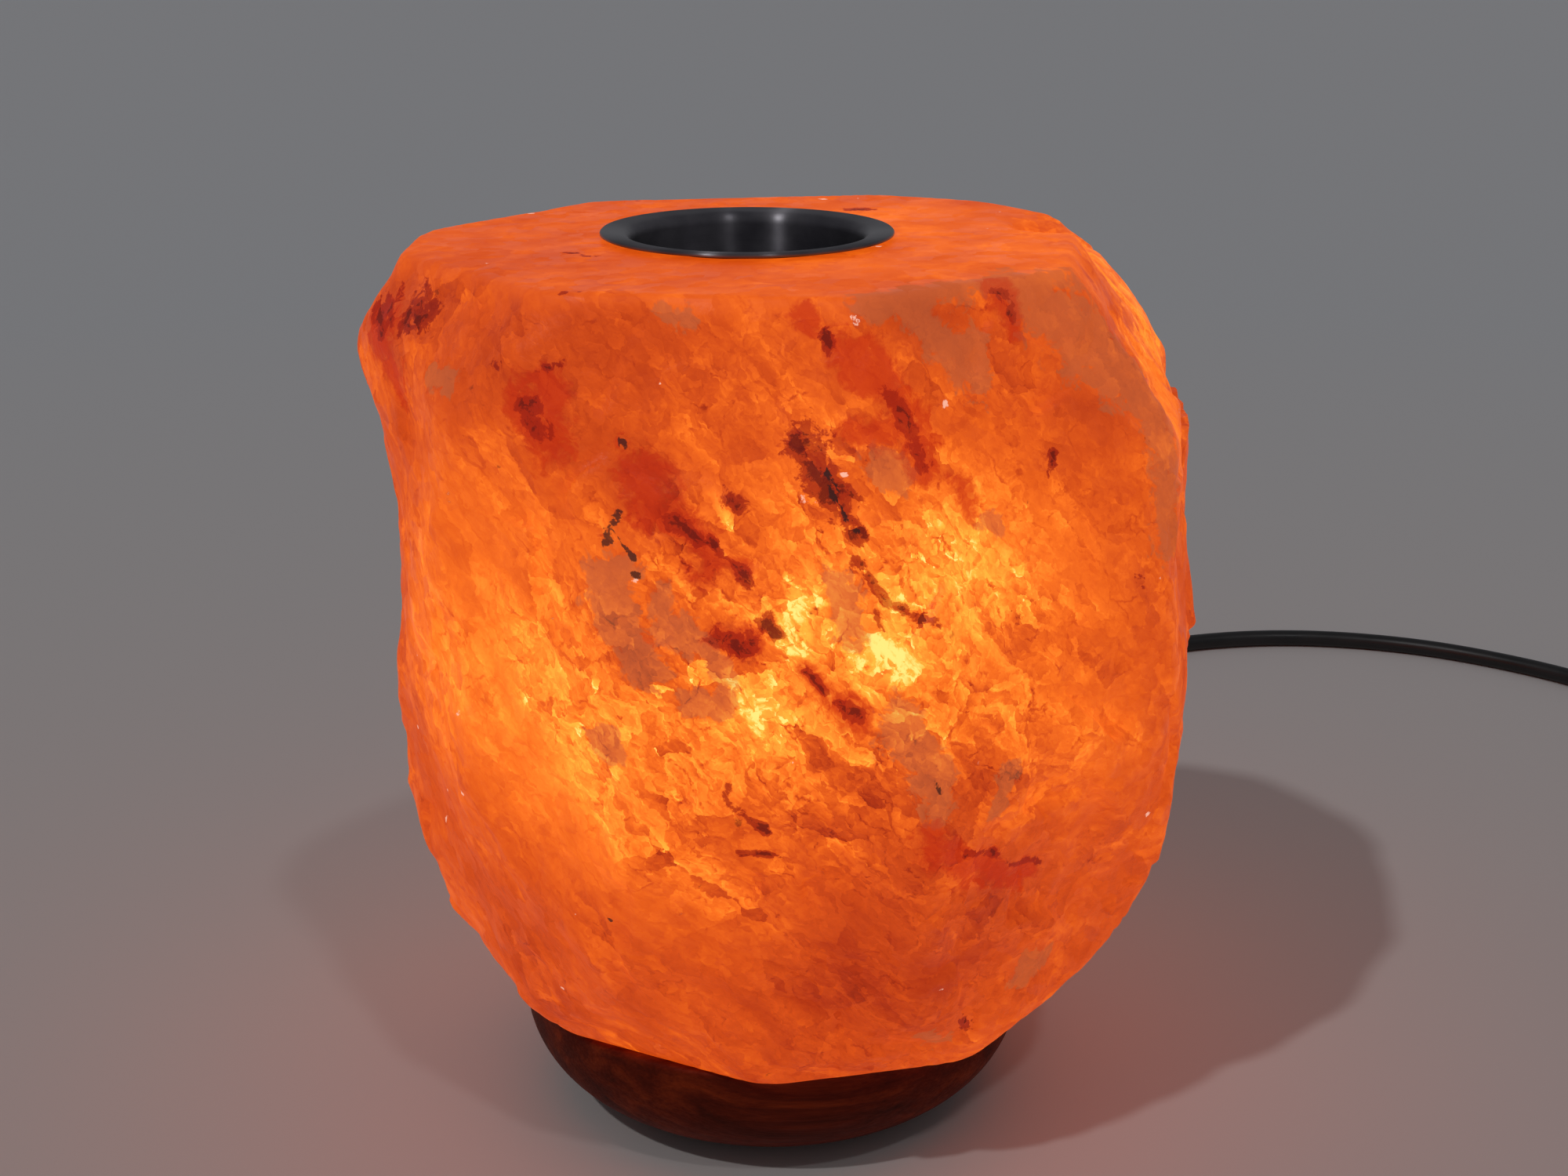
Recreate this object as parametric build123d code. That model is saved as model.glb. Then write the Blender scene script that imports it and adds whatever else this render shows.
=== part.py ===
from build123d import *
import os
from math import cos, hypot, pi, radians, sin, tan

# Rock-salt aroma lamp. Millimetres, Z up, origin on the table under the middle of the salt block.
# The camera side of the lamp is -Y. The cord leaves the base at the back, +Y.

# Rubber feet
foot_height = 2.5
foot_diameter = 10.0
foot_circle_radius = 26.0
foot_count = 4
foot_round = 0.75

# Turned wooden base
base_x = -2.5
base_diameter = 111.0
base_height = 26.0
base_lower_round = 22.0
base_upper_round = 1.5
base_bore_diameter = 40.0

# Hewn salt block
block_width = 176.0
block_depth = 158.0
block_height = 161.5
cavity_diameter = 46.0
cavity_depth = 97.0
# Each face of the block: direction it looks to, lean up from upright, and how far it lies inside the
# block's oval outline, at the level of its tier (degrees, degrees, millimetres).
crown_faces = [
    (178, 33, 14), (-142, 30, 14), (-96, 14, 15), (-55, 17, 21), (-8, 37, 30),
    (-2, 21, 19), (34, 24, 20.5), (66, 30, 17), (100, 14, 24), (142, 26, 21),
]
waist_faces = [
    (-90, 2, -0.7), (-54, 3, 0), (-14, 1, 3), (24, -1, 5.3), (62, 3, 2),
    (98, 0, 3), (136, 2, 8), (174, -3.3, 7.3), (-154, -2.4, 5.4), (-122, 0, 2),
]
haunch_faces = [
    (180, -15, 11.5), (-140, -17, 11), (-96, -16, 9), (-50, -15, 11),
    (-8, -15, 7.8), (36, -16, 12), (80, -14, 11), (128, -16, 15),
]
foot_faces = [
    (166, -38, 30), (-158, -37, 30), (-118, -38, 27), (-76, -36, 23), (-36, -38, 27),
    (4, -36, 30), (48, -38, 27), (90, -36, 22), (128, -38, 27),
]
# Broad hollows: direction, lean and inset of the deepest place, its level above the base, and the radius
# of the hollow's curve.
hollow_faces = [
    (-168, -2, 7.6, 106, 100), (-8, 4, 6.1, 116.5, 110), (104, 0, 6.0, 95, 120),
    (150, -2, 10.7, 60, 110), (44, 2, 3.7, 70, 110),
]
# Rows of shallow flake scars round the block: level above the base, count, direction of the first.
scar_rows = [(26, 8, 12), (54, 9, 34), (82, 10, 4), (110, 9, 24), (136, 8, 30)]
scar_depth = 1.5
scar_depth_change = 0.5
scar_radius = 90.0
scar_step = 137.0
scar_least_facing = 0.1
haunch_level = 34.0
waist_level = 80.0

# Screws that hold the base to the block, in nylon plugs
base_screw_diameter = 4.0
base_screw_head_diameter = 8.0
base_screw_head_height = 2.5
base_screw_length = 40.0
base_screw_circle_radius = 29.0
base_screw_angles = (0, 180, 270)
plug_sleeve_diameter = 7.0
plug_sleeve_length = 22.0
screw_clearance = 0.1
screw_point = 1.2
drive_slot_length = 5.6
drive_slot_width = 1.0
drive_slot_depth = 0.6

# Steel oil dish in the top
dish_x = -7.5
dish_rim_diameter = 60.0
dish_mouth_diameter = 47.6
dish_depth = 19.0
dish_wall = 0.8
dish_rim_fall = 0.5
dish_floor_round = 4.0
dish_seat_gap = 0.3
dish_pocket_clearance = 0.8
dish_pocket_spare_depth = 2.0

# Cord and its groove under the base
cord_diameter = 5.4
groove_clearance = 0.3
groove_exit_y = 50.0
inner_cord_bend = 9.0
cord_inside_cap = 4.0
clip_length = 28.0
clip_width = 9.0
clip_thickness = 1.0
clip_corner = 4.0
clip_y = 27.0
clip_screw_spacing = 20.0
clip_screw_diameter = 2.5
clip_screw_head_diameter = 4.6
clip_screw_head_height = 1.2
clip_screw_length = 10.0

# Lampholder
holder_rise = 12.0
holder_diameter = 28.0
holder_cap_height = 18.0
holder_cap_wall = 3.0
holder_cap_floor = 2.5
holder_body_height = 32.0
holder_mouth_diameter = 25.0
holder_wall = 2.0
insert_height = 7.0
insert_clearance = 0.1
thread_shell_height = 23.0
thread_shell_wall = 0.5
thread_radius = 7.3
thread_wave = 0.35
thread_pitch = 2.82
thread_turns = 6
thread_play = 0.15
terminal_spacing = 15.0
terminal_screw_diameter = 2.4
terminal_head_diameter = 4.4
terminal_head_height = 1.8
terminal_blind_end = 1.0
contact_strip_length = 10.6
contact_strip_width = 4.0
contact_strip_thickness = 0.4
clip_spring_width = 9.0
clip_spring_thickness = 0.6
clip_spring_height = 13.0
clip_spring_drop = 8.0
clip_spring_foot = 1.0
clip_bore_gap = 0.1
rivet_diameter = 2.0
rivet_head_diameter = 4.0
rivet_head_height = 0.8
rivet_rise = 5.0
wire_diameter = 1.8
wire_bend = 1.6
wire_gap = 0.1

# Bulb
bulb_rise = 3.2
bulb_tip_diameter = 4.8
bulb_tip_height = 1.2
bulb_insulator_height = 2.7
bulb_cap_wall = 0.35
bulb_flare_diameter = 17.2
bulb_flare_height = 4.0
bulb_diameter = 25.0
bulb_glass_wall = 0.7
glass_seat_gap = 0.1
glass_seat_rise = 1.6
bulb_glass_height = 43.0
bulb_neck_length = 9.0
stem_diameter = 6.0
stem_height = 14.0
stem_flare_height = 1.5
lead_diameter = 0.6
lead_spacing = 9.0
lead_height = 13.0
filament_diameter = 0.5
filament_rise = 3.0

# In-line switch: length along the cord, which here runs towards -Y
switch_x = 296.0
switch_y = 119.0
switch_length = 58.0
switch_width = 26.0
switch_height = 16.0
switch_split = 6.5
switch_wall = 1.6
switch_corner = 7.0
switch_edge_round = 1.5
relief_length = 22.0
relief_root_diameter = 9.2
relief_tip_diameter = 6.4
relief_neck_diameter = 7.2
relief_neck_inside = 2.0
relief_ribs = 4
relief_rib_depth = 0.5
relief_rib_gap = 1.4
relief_neck_clearance = 0.05
rocker_length = 19.4
rocker_width = 10.4
rocker_top = 3.4
rocker_dip = 1.1
rocker_skirt = 1.6
rocker_toe = 3.6
rocker_toe_width = 5.0
rocker_tilt = 8.0
rocker_end_gap = 0.8
rocker_side_gap = 0.4
rocker_pin_diameter = 2.0
rocker_pin_drop = 2.8
rocker_pin_play = 0.05
pin_ear_width = 2.4
pin_ear_length = 6.0
pin_ear_below = 2.4
switch_screw_x = 18.0
switch_screw_y = 8.0
switch_screw_diameter = 2.3
switch_screw_head_diameter = 4.4
switch_screw_head_height = 1.0
switch_screw_recess = 0.2
switch_screw_length = 12.0
switch_boss_diameter = 6.2
terminal_block_length = 7.0
terminal_block_width = 5.0
terminal_block_height = 4.0
terminal_block_spacing = 16.0
terminal_block_chamfer = 0.6
leaf_thickness = 0.4
leaf_width = 4.0
leaf_gap = 0.3

# Put-away coil, tied
coil_x = 255.0
coil_y = 20.0
coil_inner_radius = 21.9
coil_pitch = 5.85
coil_reverse_step = 0.75
coil_half_turns_below = 6
coil_half_turns_above = 5
tie_width = 4.0
tie_thickness = 0.8
tie_slack = 0.4
tie_corner_round = 1.6
tie_head_height = 2.6
tie_head_length = 6.0
tie_head_width = 5.6
tie_head_round = 0.8

# Plug with two round pins, lying flat beside the coil
plug_tip_y = -36.0
plug_x = 294.0
plug_relief_length = 26.0
plug_relief_root_diameter = 10.0
plug_rear_width = 16.0
plug_width = 35.0
plug_shoulder = 20.0
plug_length = 34.0
plug_thickness = 13.7
plug_edge_round = 2.5
pin_spacing = 19.0
pin_diameter = 4.0
pin_length = 19.0
pin_root = 6.0
sleeve_diameter = 3.4
sleeve_length = 10.0
sleeve_core_diameter = 2.4

# Derived levels and places
cord_radius = cord_diameter / 2
base_bottom = foot_height
base_top = base_bottom + base_height
block_top = base_top + block_height
cavity_top = base_top + cavity_depth
inner_cord_z = base_bottom + groove_clearance + cord_radius
groove_top = inner_cord_z + cord_radius + groove_clearance
holder_bottom = base_bottom + holder_rise
holder_split = holder_bottom + holder_cap_height
holder_top = holder_split + holder_body_height
insert_top = holder_split + insert_height
holder_radius = holder_diameter / 2
insert_radius = holder_radius - holder_wall - insert_clearance
thread_bore = thread_radius + thread_wave + thread_shell_wall
shell_top = insert_top + thread_shell_height
bulb_tip_bottom = insert_top + bulb_rise - bulb_tip_height
insulator_bottom = bulb_tip_bottom + bulb_tip_height
cap_bottom = insulator_bottom + bulb_insulator_height
cap_thread_top = cap_bottom + thread_pitch * thread_turns
flare_top = cap_thread_top + bulb_flare_height
glass_bottom = cap_thread_top + glass_seat_rise
bulb_cap_bore = thread_radius - 2 * thread_wave - thread_play - bulb_cap_wall
glass_top = glass_bottom + bulb_glass_height
stem_top = glass_bottom + stem_height
lead_top = stem_top + lead_height
dish_top = block_top + dish_seat_gap + dish_wall + dish_rim_fall
dish_bowl_radius = dish_mouth_diameter / 2
pocket_radius = dish_bowl_radius + dish_wall + dish_pocket_clearance
switch_cord_z = switch_split
switch_end_y = switch_length / 2 + relief_length
coil_low_z = tie_thickness + tie_slack + cord_radius
coil_high_z = coil_low_z + coil_pitch
coil_start_x = coil_x + coil_inner_radius + coil_pitch * (coil_reverse_step + (coil_half_turns_below - 1) / 2)
coil_end_x = coil_x + coil_inner_radius + coil_pitch * (coil_reverse_step + (coil_half_turns_above - 1) / 2)
plug_z = plug_thickness / 2
rocker_pin_z = switch_height - rocker_pin_drop
lamp_axis = Pos(base_x, 0, 0)
switch_place = Pos(switch_x, switch_y, 0) * Rot(0, 0, -90)
plug_place = Pos(plug_x, plug_tip_y, 0) * Rot(0, 0, -90)

# Route of the free cord, chosen by hand: out of the groove, round behind the lamp, to the switch
run_points = [
    (base_x, groove_exit_y, inner_cord_z), (base_x, 68, inner_cord_z), (-0.5, 94, 2.8), (8, 128, 2.7),
    (23, 168, 2.7), (48, 208, 2.7), (82, 246, 2.7), (124, 277, 2.7), (170, 289, 2.7),
    (215, 281, 2.7), (252, 258, 2.7), (279, 228, 2.7), (292, 204, 3.9), (switch_x, 186, switch_cord_z),
    (switch_x, switch_y + switch_end_y, switch_cord_z),
]
link_points = [
    (switch_x, switch_y - switch_end_y, switch_cord_z), (switch_x, 57, switch_cord_z),
    (coil_start_x, 38, coil_low_z), (coil_start_x, coil_y + cord_diameter, coil_low_z),
]
tail_points = [
    (coil_end_x, coil_y - cord_diameter, coil_high_z), (coil_end_x, 2, coil_high_z), (293.6, -13, 7.7),
    (plug_x, -26, plug_z), (plug_x, plug_tip_y, plug_z),
]


def rod(radius, low, high, x=0.0, y=0.0):
    # upright cylinder between two levels
    return Pos(x, y, low) * Cylinder(radius, high - low, align=(Align.CENTER, Align.CENTER, Align.MIN))


def turned(points):
    # solid of revolution about Z from a closed outline of (radius, level) points
    outline = Plane.XZ * make_face(Polyline(*points, close=True))
    return revolve(outline, Axis.Z)


def group(shapes):
    return Compound(children=list(shapes))


def around(radius, angle):
    return radius * cos(radians(angle)), radius * sin(radians(angle))


# Base, feet and screws
def foot_places():
    turn = 360.0 / foot_count
    return [around(foot_circle_radius, turn * (i + 0.5)) for i in range(foot_count)]


def rubber_feet():
    feet = []
    for x, y in foot_places():
        foot = rod(foot_diameter / 2, 0, foot_height, x, y)
        feet.append(lamp_axis * fillet(foot.edges().sort_by(Axis.Z)[0], foot_round))
    return group(feet)


def wood_base():
    base = rod(base_diameter / 2, base_bottom, base_top)
    rims = base.edges().filter_by(GeomType.CIRCLE).sort_by(Axis.Z)
    lower_round = min(base_lower_round, base_height - base_upper_round - 1)
    base = fillet(rims[0], lower_round)
    base = fillet(base.edges().filter_by(GeomType.CIRCLE).sort_by(Axis.Z)[-1], base_upper_round)
    base -= rod(base_bore_diameter / 2, base_bottom - 1, base_top + 1)
    groove_width = cord_diameter + 2 * groove_clearance
    groove_height = groove_top - base_bottom + 1
    base -= Pos(0, 0, base_bottom - 1) * Box(
        groove_width, base_diameter, groove_height, align=(Align.CENTER, Align.MIN, Align.MIN)
    )
    for angle in base_screw_angles:
        x, y = around(base_screw_circle_radius, angle)
        base -= rod(base_screw_diameter / 2 + screw_clearance, base_bottom - 1, base_top + 1, x, y)
        base -= screw_head(x, y, screw_clearance)
    for side in (-1, 1):
        x = side * clip_screw_spacing / 2
        top = base_bottom - clip_thickness + clip_screw_length + screw_clearance
        base -= rod(clip_screw_diameter / 2 + screw_clearance, base_bottom - 1, top, x, clip_y)
    return lamp_axis * base


def screw_head(x, y, grow=0.0):
    # countersunk head, flush with the underside of the base
    wide = base_screw_head_diameter / 2 + grow
    narrow = base_screw_diameter / 2 + grow
    cone = Cone(wide, narrow, base_screw_head_height, align=(Align.CENTER, Align.CENTER, Align.MIN))
    return Pos(x, y, base_bottom) * cone


def base_screws():
    screws = []
    for angle in base_screw_angles:
        x, y = around(base_screw_circle_radius, angle)
        shank = rod(base_screw_diameter / 2, base_bottom, base_bottom + base_screw_length, x, y)
        shank = chamfer(shank.edges().sort_by(Axis.Z)[-1], screw_point)
        slot = Pos(x, y, base_bottom) * Box(drive_slot_length, drive_slot_width, 2 * drive_slot_depth)
        cross = Pos(x, y, base_bottom) * Box(drive_slot_width, drive_slot_length, 2 * drive_slot_depth)
        screws.append(lamp_axis * (shank + screw_head(x, y) - slot - cross))
    return group(screws)


def screw_plugs():
    plugs = []
    for angle in base_screw_angles:
        x, y = around(base_screw_circle_radius, angle)
        plug = rod(plug_sleeve_diameter / 2, base_top, base_top + plug_sleeve_length, x, y)
        bore = base_screw_diameter / 2 + screw_clearance
        plugs.append(lamp_axis * (plug - rod(bore, base_top - 1, base_top + plug_sleeve_length + 1, x, y)))
    return group(plugs)


# Salt block
def hewn_plane(azimuth, lean, inset, level):
    # plane of one face, through the oval outline drawn in by the inset
    along, across = cos(radians(azimuth)), sin(radians(azimuth))
    reach = hypot(block_width / 2 * along, block_depth / 2 * across) - inset
    flat, rise = cos(radians(lean)), sin(radians(lean))
    return Plane(origin=(reach * along, reach * across, level), z_dir=(flat * along, flat * across, rise))


def hewn_planes():
    tiers = [
        (block_top, crown_faces), (base_top + waist_level, waist_faces),
        (base_top + haunch_level, haunch_faces), (base_top, foot_faces),
    ]
    return [hewn_plane(*face, level) for level, faces in tiers for face in faces]


def scar_balls():
    # balls that touch the bottoms of the scars; each scar lies on the face that is nearest in its direction
    balls = []
    for row, (level, count, first) in enumerate(scar_rows):
        for i in range(count):
            azimuth = radians(first + 360.0 / count * i)
            start = Vector(0, 0, base_top + level)
            way = Vector(cos(azimuth), sin(azimuth), 0)
            reach = []
            for face in hewn_planes():
                facing = way.dot(face.z_dir)
                if facing > scar_least_facing:
                    reach.append(((face.origin - start).dot(face.z_dir) / facing, face.z_dir))
            distance, outward = min(reach, key=lambda pair: pair[0])
            depth = scar_depth + scar_depth_change * sin(radians(scar_step * i + scar_step / 2 * row))
            balls.append(Pos(start + way * distance + outward * (scar_radius - depth)) * Sphere(scar_radius))
    return balls


def salt_block():
    block = Pos(0, 0, base_top) * Box(
        2 * block_width, 2 * block_depth, block_height, align=(Align.CENTER, Align.CENTER, Align.MIN)
    )
    for face in hewn_planes():
        block = split(block, bisect_by=face, keep=Keep.BOTTOM)
    for azimuth, lean, inset, level, radius in hollow_faces:
        deepest = hewn_plane(azimuth, lean, inset, base_top + level)
        block -= Pos(deepest.origin + deepest.z_dir * radius) * Sphere(radius)
    for ball in scar_balls():
        block -= ball
    block -= lamp_axis * rod(cavity_diameter / 2, base_top - 1, cavity_top)
    for angle in base_screw_angles:
        x, y = around(base_screw_circle_radius, angle)
        high = max(base_bottom + base_screw_length, base_top + plug_sleeve_length) + screw_clearance
        block -= lamp_axis * rod(plug_sleeve_diameter / 2 + screw_clearance, base_top - 1, high, x, y)
    pocket_bottom = dish_top - dish_depth - dish_wall - dish_pocket_spare_depth
    block -= Pos(dish_x, 0, 0) * rod(pocket_radius, pocket_bottom, block_top + 1)
    return block


def aroma_dish():
    rim = dish_rim_diameter / 2
    floor_top = dish_top - dish_depth
    rim_low = dish_top - dish_rim_fall
    inner = dish_bowl_radius
    bowl = turned([
        (0, floor_top), (inner - dish_floor_round, floor_top), (inner, floor_top + dish_floor_round),
        (inner, rim_low), (rim, dish_top), (rim, dish_top - dish_wall),
        (inner + dish_wall, rim_low - dish_wall),
        (inner + dish_wall, floor_top + dish_floor_round - dish_wall / 2),
        (inner - dish_floor_round + dish_wall / 2, floor_top - dish_wall), (0, floor_top - dish_wall),
    ])
    return Pos(dish_x, 0, 0) * bowl


# Lampholder
def holder_cap():
    cap = rod(holder_radius, holder_bottom, holder_split)
    cap = fillet(cap.edges().sort_by(Axis.Z)[0], holder_cap_floor / 2)
    cap -= rod(holder_radius - holder_cap_wall, holder_bottom + holder_cap_floor, holder_split + 1)
    cap -= rod(cord_radius + groove_clearance, holder_bottom - 1, holder_split)
    cap -= rivet_holes()
    return lamp_axis * cap


def holder_body():
    mouth = holder_mouth_diameter / 2
    inside = holder_radius - holder_wall
    body = turned([
        (inside, holder_split), (holder_radius, holder_split),
        (holder_radius, insert_top), (mouth, holder_top),
        (thread_bore + insert_clearance, holder_top), (thread_bore + insert_clearance, insert_top),
        (inside, insert_top),
    ])
    return lamp_axis * body


def holder_insert():
    insert = rod(insert_radius, holder_split, insert_top)
    for side in (-1, 1):
        hole = terminal_screw_diameter / 2 + screw_clearance
        insert -= rod(hole, holder_split - 1, insert_top - terminal_blind_end, side * terminal_spacing / 2)
    return lamp_axis * insert


def wave_outline(low, radius, inward, turns):
    # outline points of a rolled screw thread, drawn as rings a pitch apart
    points = []
    for i in range(turns):
        crest = low + thread_pitch * (i + 0.5)
        points.append((radius - thread_wave, low + thread_pitch * i))
        points.append((radius + thread_wave, crest))
    points.append((radius - thread_wave, low + thread_pitch * turns))
    return [(r - inward, z) for r, z in points]


def thread_shell():
    inner = wave_outline(cap_bottom, thread_radius, 0, thread_turns)
    outside = thread_bore
    points = [(outside, insert_top), (outside, shell_top), (inner[-1][0], shell_top)]
    points += inner[::-1]
    points += [(inner[0][0], insert_top)]
    return lamp_axis * turned(points)


def centre_contact():
    strip = Pos(0, 0, insert_top) * Box(
        contact_strip_length, contact_strip_width, contact_strip_thickness,
        align=(Align.CENTER, Align.CENTER, Align.MIN),
    )
    dome_height = bulb_tip_bottom - insert_top - contact_strip_thickness - contact_strip_thickness / 2
    dome = rod(contact_strip_width / 2, insert_top, insert_top + contact_strip_thickness + dome_height)
    return lamp_axis * (strip + dome)


def terminal_screws():
    screws = []
    for side in (-1, 1):
        x = side * terminal_spacing / 2
        shank = rod(terminal_screw_diameter / 2, holder_split, insert_top - 2 * terminal_blind_end, x)
        head = rod(terminal_head_diameter / 2, holder_split - terminal_head_height, holder_split, x)
        slot = Box(terminal_head_diameter, drive_slot_width, 2 * drive_slot_depth)
        slot = Pos(x, 0, holder_split - terminal_head_height) * slot
        screws.append(lamp_axis * (shank + head - slot))
    return group(screws)


def wires():
    tubes = []
    for side in (-1, 1):
        start = holder_bottom + holder_cap_floor + cord_inside_cap
        end = holder_split - terminal_head_height - wire_diameter / 2 - wire_gap
        near = side * 0.6 * wire_diameter
        far = side * terminal_spacing / 2
        path = FilletPolyline((near, 0, start), (near, 0, (start + end) / 2), (far, 0, end), radius=wire_bend)
        section = Plane(origin=path @ 0, z_dir=path % 0) * Circle(wire_diameter / 2)
        tubes.append(lamp_axis * sweep(section, path))
    return group(tubes)


def rivet_axis(side, reach):
    # frame on the cap's side, looking outwards along X
    return Pos(side * reach, 0, holder_bottom + rivet_rise) * Rot(0, 90 * side, 0)


def rivet_holes():
    holes = []
    for side in (-1, 1):
        holes.append(rivet_axis(side, holder_radius - holder_cap_wall) * Cylinder(
            rivet_diameter / 2, 3 * holder_cap_wall))
    return holes


def clip_rivets():
    rivets = []
    standing = (Align.CENTER, Align.CENTER, Align.MIN)
    body_length = clip_spring_thickness + holder_cap_wall
    for side in (-1, 1):
        body = Cylinder(rivet_diameter / 2, body_length, align=standing)
        body = rivet_axis(side, holder_radius - holder_cap_wall) * body
        head = Cylinder(rivet_head_diameter / 2, rivet_head_height, align=standing)
        head = rivet_axis(side, holder_radius + clip_spring_thickness) * head
        rivets.append(lamp_axis * (body + head))
    return group(rivets)


def spring_clips():
    # strip up the side of the cap, folded out and down to press on the bore of the base
    clips = []
    half_width = clip_spring_width / 2
    reach = (base_bore_diameter ** 2 / 4 - half_width ** 2) ** 0.5 - clip_bore_gap
    low = holder_bottom + clip_spring_foot
    high = low + clip_spring_height
    t = clip_spring_thickness
    for side in (-1, 1):
        foot = holder_radius
        outline = [
            (foot, low), (foot + t, low), (foot + t, high - 2 * t), (reach - t, high - clip_spring_drop),
            (reach, high - clip_spring_drop + t / 2), (foot + t, high), (foot, high),
        ]
        face = Plane.XZ * make_face(Polyline(*outline, close=True))
        clip = extrude(face, clip_spring_width / 2, both=True)
        if side < 0:
            clip = mirror(clip, Plane.YZ)
        clip -= rivet_axis(side, holder_radius - 1) * Cylinder(rivet_diameter / 2, 6)
        clips.append(lamp_axis * clip)
    return group(clips)


# Bulb
def bulb_cap():
    outer = wave_outline(cap_bottom, thread_radius, thread_play, thread_turns)
    flare = bulb_flare_diameter / 2
    points = outer + [(flare, flare_top), (flare - bulb_cap_wall, flare_top)]
    points += [(bulb_cap_bore, cap_thread_top), (bulb_cap_bore, cap_bottom)]
    return lamp_axis * turned(points)


def bulb_insulator():
    wide = thread_radius - thread_wave - thread_play
    cone = Cone(bulb_tip_diameter / 2 + 0.6, wide, bulb_insulator_height,
                align=(Align.CENTER, Align.CENTER, Align.MIN))
    return lamp_axis * Pos(0, 0, insulator_bottom) * cone


def bulb_contact():
    return lamp_axis * rod(bulb_tip_diameter / 2, bulb_tip_bottom, insulator_bottom)


def bulb_neck_radius():
    # the glass stands in the flare of the cap, clear of its inner face
    mouth = bulb_flare_diameter / 2 - bulb_cap_wall
    share = (glass_bottom - cap_thread_top) / bulb_flare_height
    return bulb_cap_bore + (mouth - bulb_cap_bore) * share - glass_seat_gap


def bulb_outline(shrink):
    # pear outline of the glass, (radius, level)
    neck = bulb_neck_radius() - shrink
    belly = bulb_diameter / 2 - shrink
    middle = glass_top - bulb_diameter / 2
    side = Spline(
        (neck, glass_bottom + bulb_neck_length), (belly, middle),
        tangents=[(0, 1), (0, 1)],
    )
    crown = CenterArc((0, middle), belly, 0, 90)
    wall = Line((neck, glass_bottom), (neck, glass_bottom + bulb_neck_length))
    return wall, side, crown


def bulb_glass():
    outer = list(bulb_outline(0))
    inner = list(bulb_outline(bulb_glass_wall))
    sides = [Line(outer[0] @ 0, inner[0] @ 0), Line(outer[2] @ 1, inner[2] @ 1)]
    face = make_face(Wire(outer + inner + sides))
    return lamp_axis * revolve(Plane.XZ * face, Axis.Z)


def bulb_stem():
    flare_radius = bulb_neck_radius() - bulb_glass_wall - glass_seat_gap
    flare = rod(flare_radius, glass_bottom, glass_bottom + stem_flare_height)
    return lamp_axis * (flare + rod(stem_diameter / 2, glass_bottom, stem_top))


def lead_tops():
    return [(side * lead_spacing / 2, lead_top) for side in (-1, 1)]


def bulb_leads():
    leads = []
    for x, top in lead_tops():
        start = (x / lead_spacing * stem_diameter * 0.6, 0, stem_top + glass_seat_gap)
        path = Polyline(start, (x, 0, (stem_top + top) / 2), (x, 0, top))
        section = Plane(origin=path @ 0, z_dir=path % 0) * Circle(lead_diameter / 2)
        leads.append(lamp_axis * sweep(section, path, transition=Transition.ROUND))
    return group(leads)


def bulb_filament():
    (left, top), (right, _) = lead_tops()
    level = top + filament_diameter / 2
    path = ThreePointArc((left, 0, level), (0, 0, level + filament_rise), (right, 0, level))
    section = Plane(origin=path @ 0, z_dir=path % 0) * Circle(filament_diameter / 2)
    return lamp_axis * sweep(section, path)


# Cord
def round_radii(points):
    # largest arc that the two runs at each corner leave room for
    radii = []
    for a, b, c in zip(points, points[1:], points[2:]):
        before, after = Vector(*b) - Vector(*a), Vector(*c) - Vector(*b)
        half_turn = radians(before.get_angle(after)) / 2
        radii.append(0.45 * min(before.length, after.length) / tan(half_turn))
    return radii


def cord_tube(node, points):
    radii = round_radii(points)
    path = FilletPolyline(*points, radius=radii)
    section = Plane(origin=path @ 0, z_dir=path % 0) * Circle(cord_radius)
    tube = sweep(section, path)
    share = tube.volume / (pi * cord_radius ** 2 * path.length)
    print(node, f"length {path.length:.1f}, volume over section times length {share:.4f}, radii",
          [round(r) for r in radii])
    return tube


def inner_cord():
    start = holder_bottom + holder_cap_floor + cord_inside_cap
    path = FilletPolyline(
        (0, 0, start), (0, 0, inner_cord_z), (0, groove_exit_y, inner_cord_z), radius=inner_cord_bend
    )
    section = Plane(origin=path @ 0, z_dir=path % 0) * Circle(cord_radius)
    print("inner_cord", f"length {path.length:.1f}, bend radius {inner_cord_bend}")
    return lamp_axis * sweep(section, path)


def cord_clip():
    low = base_bottom - clip_thickness
    outline = RectangleRounded(clip_length, clip_width, clip_corner)
    clip = Pos(0, clip_y, low) * extrude(outline, clip_thickness)
    for side in (-1, 1):
        x = side * clip_screw_spacing / 2
        clip -= rod(clip_screw_diameter / 2 + screw_clearance, low - 1, base_bottom + 1, x, clip_y)
    return lamp_axis * clip


def clip_screws():
    screws = []
    for side in (-1, 1):
        x = side * clip_screw_spacing / 2
        low = base_bottom - clip_thickness
        shank = rod(clip_screw_diameter / 2, low, low + clip_screw_length, x, clip_y)
        head = rod(clip_screw_head_diameter / 2, low - clip_screw_head_height, low, x, clip_y)
        head = fillet(head.edges().sort_by(Axis.Z)[0], clip_screw_head_height / 3)
        screws.append(lamp_axis * (shank + head))
    return group(screws)


# Coil: half turns joined end to end, in along the lower layer, one tilted half turn up, out along the upper
def coil_joints():
    # distance from the coil's middle at each joint of the lower layer, from the outside in
    joints = [coil_inner_radius]
    for i in range(coil_half_turns_below):
        step = coil_reverse_step if i == 0 else 0.5
        joints.append(joints[-1] + step * coil_pitch)
    return joints[::-1]


def coil_ends():
    # (signed distance along X, level) of each joint, alternating sides of the middle
    inward = coil_joints()
    outward = inward[::-1][:coil_half_turns_above + 1]
    stops = [(r, coil_low_z) for r in inward] + [(r, coil_high_z) for r in outward]
    return [(r if i % 2 == 0 else -r, z) for i, (r, z) in enumerate(stops)]


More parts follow.
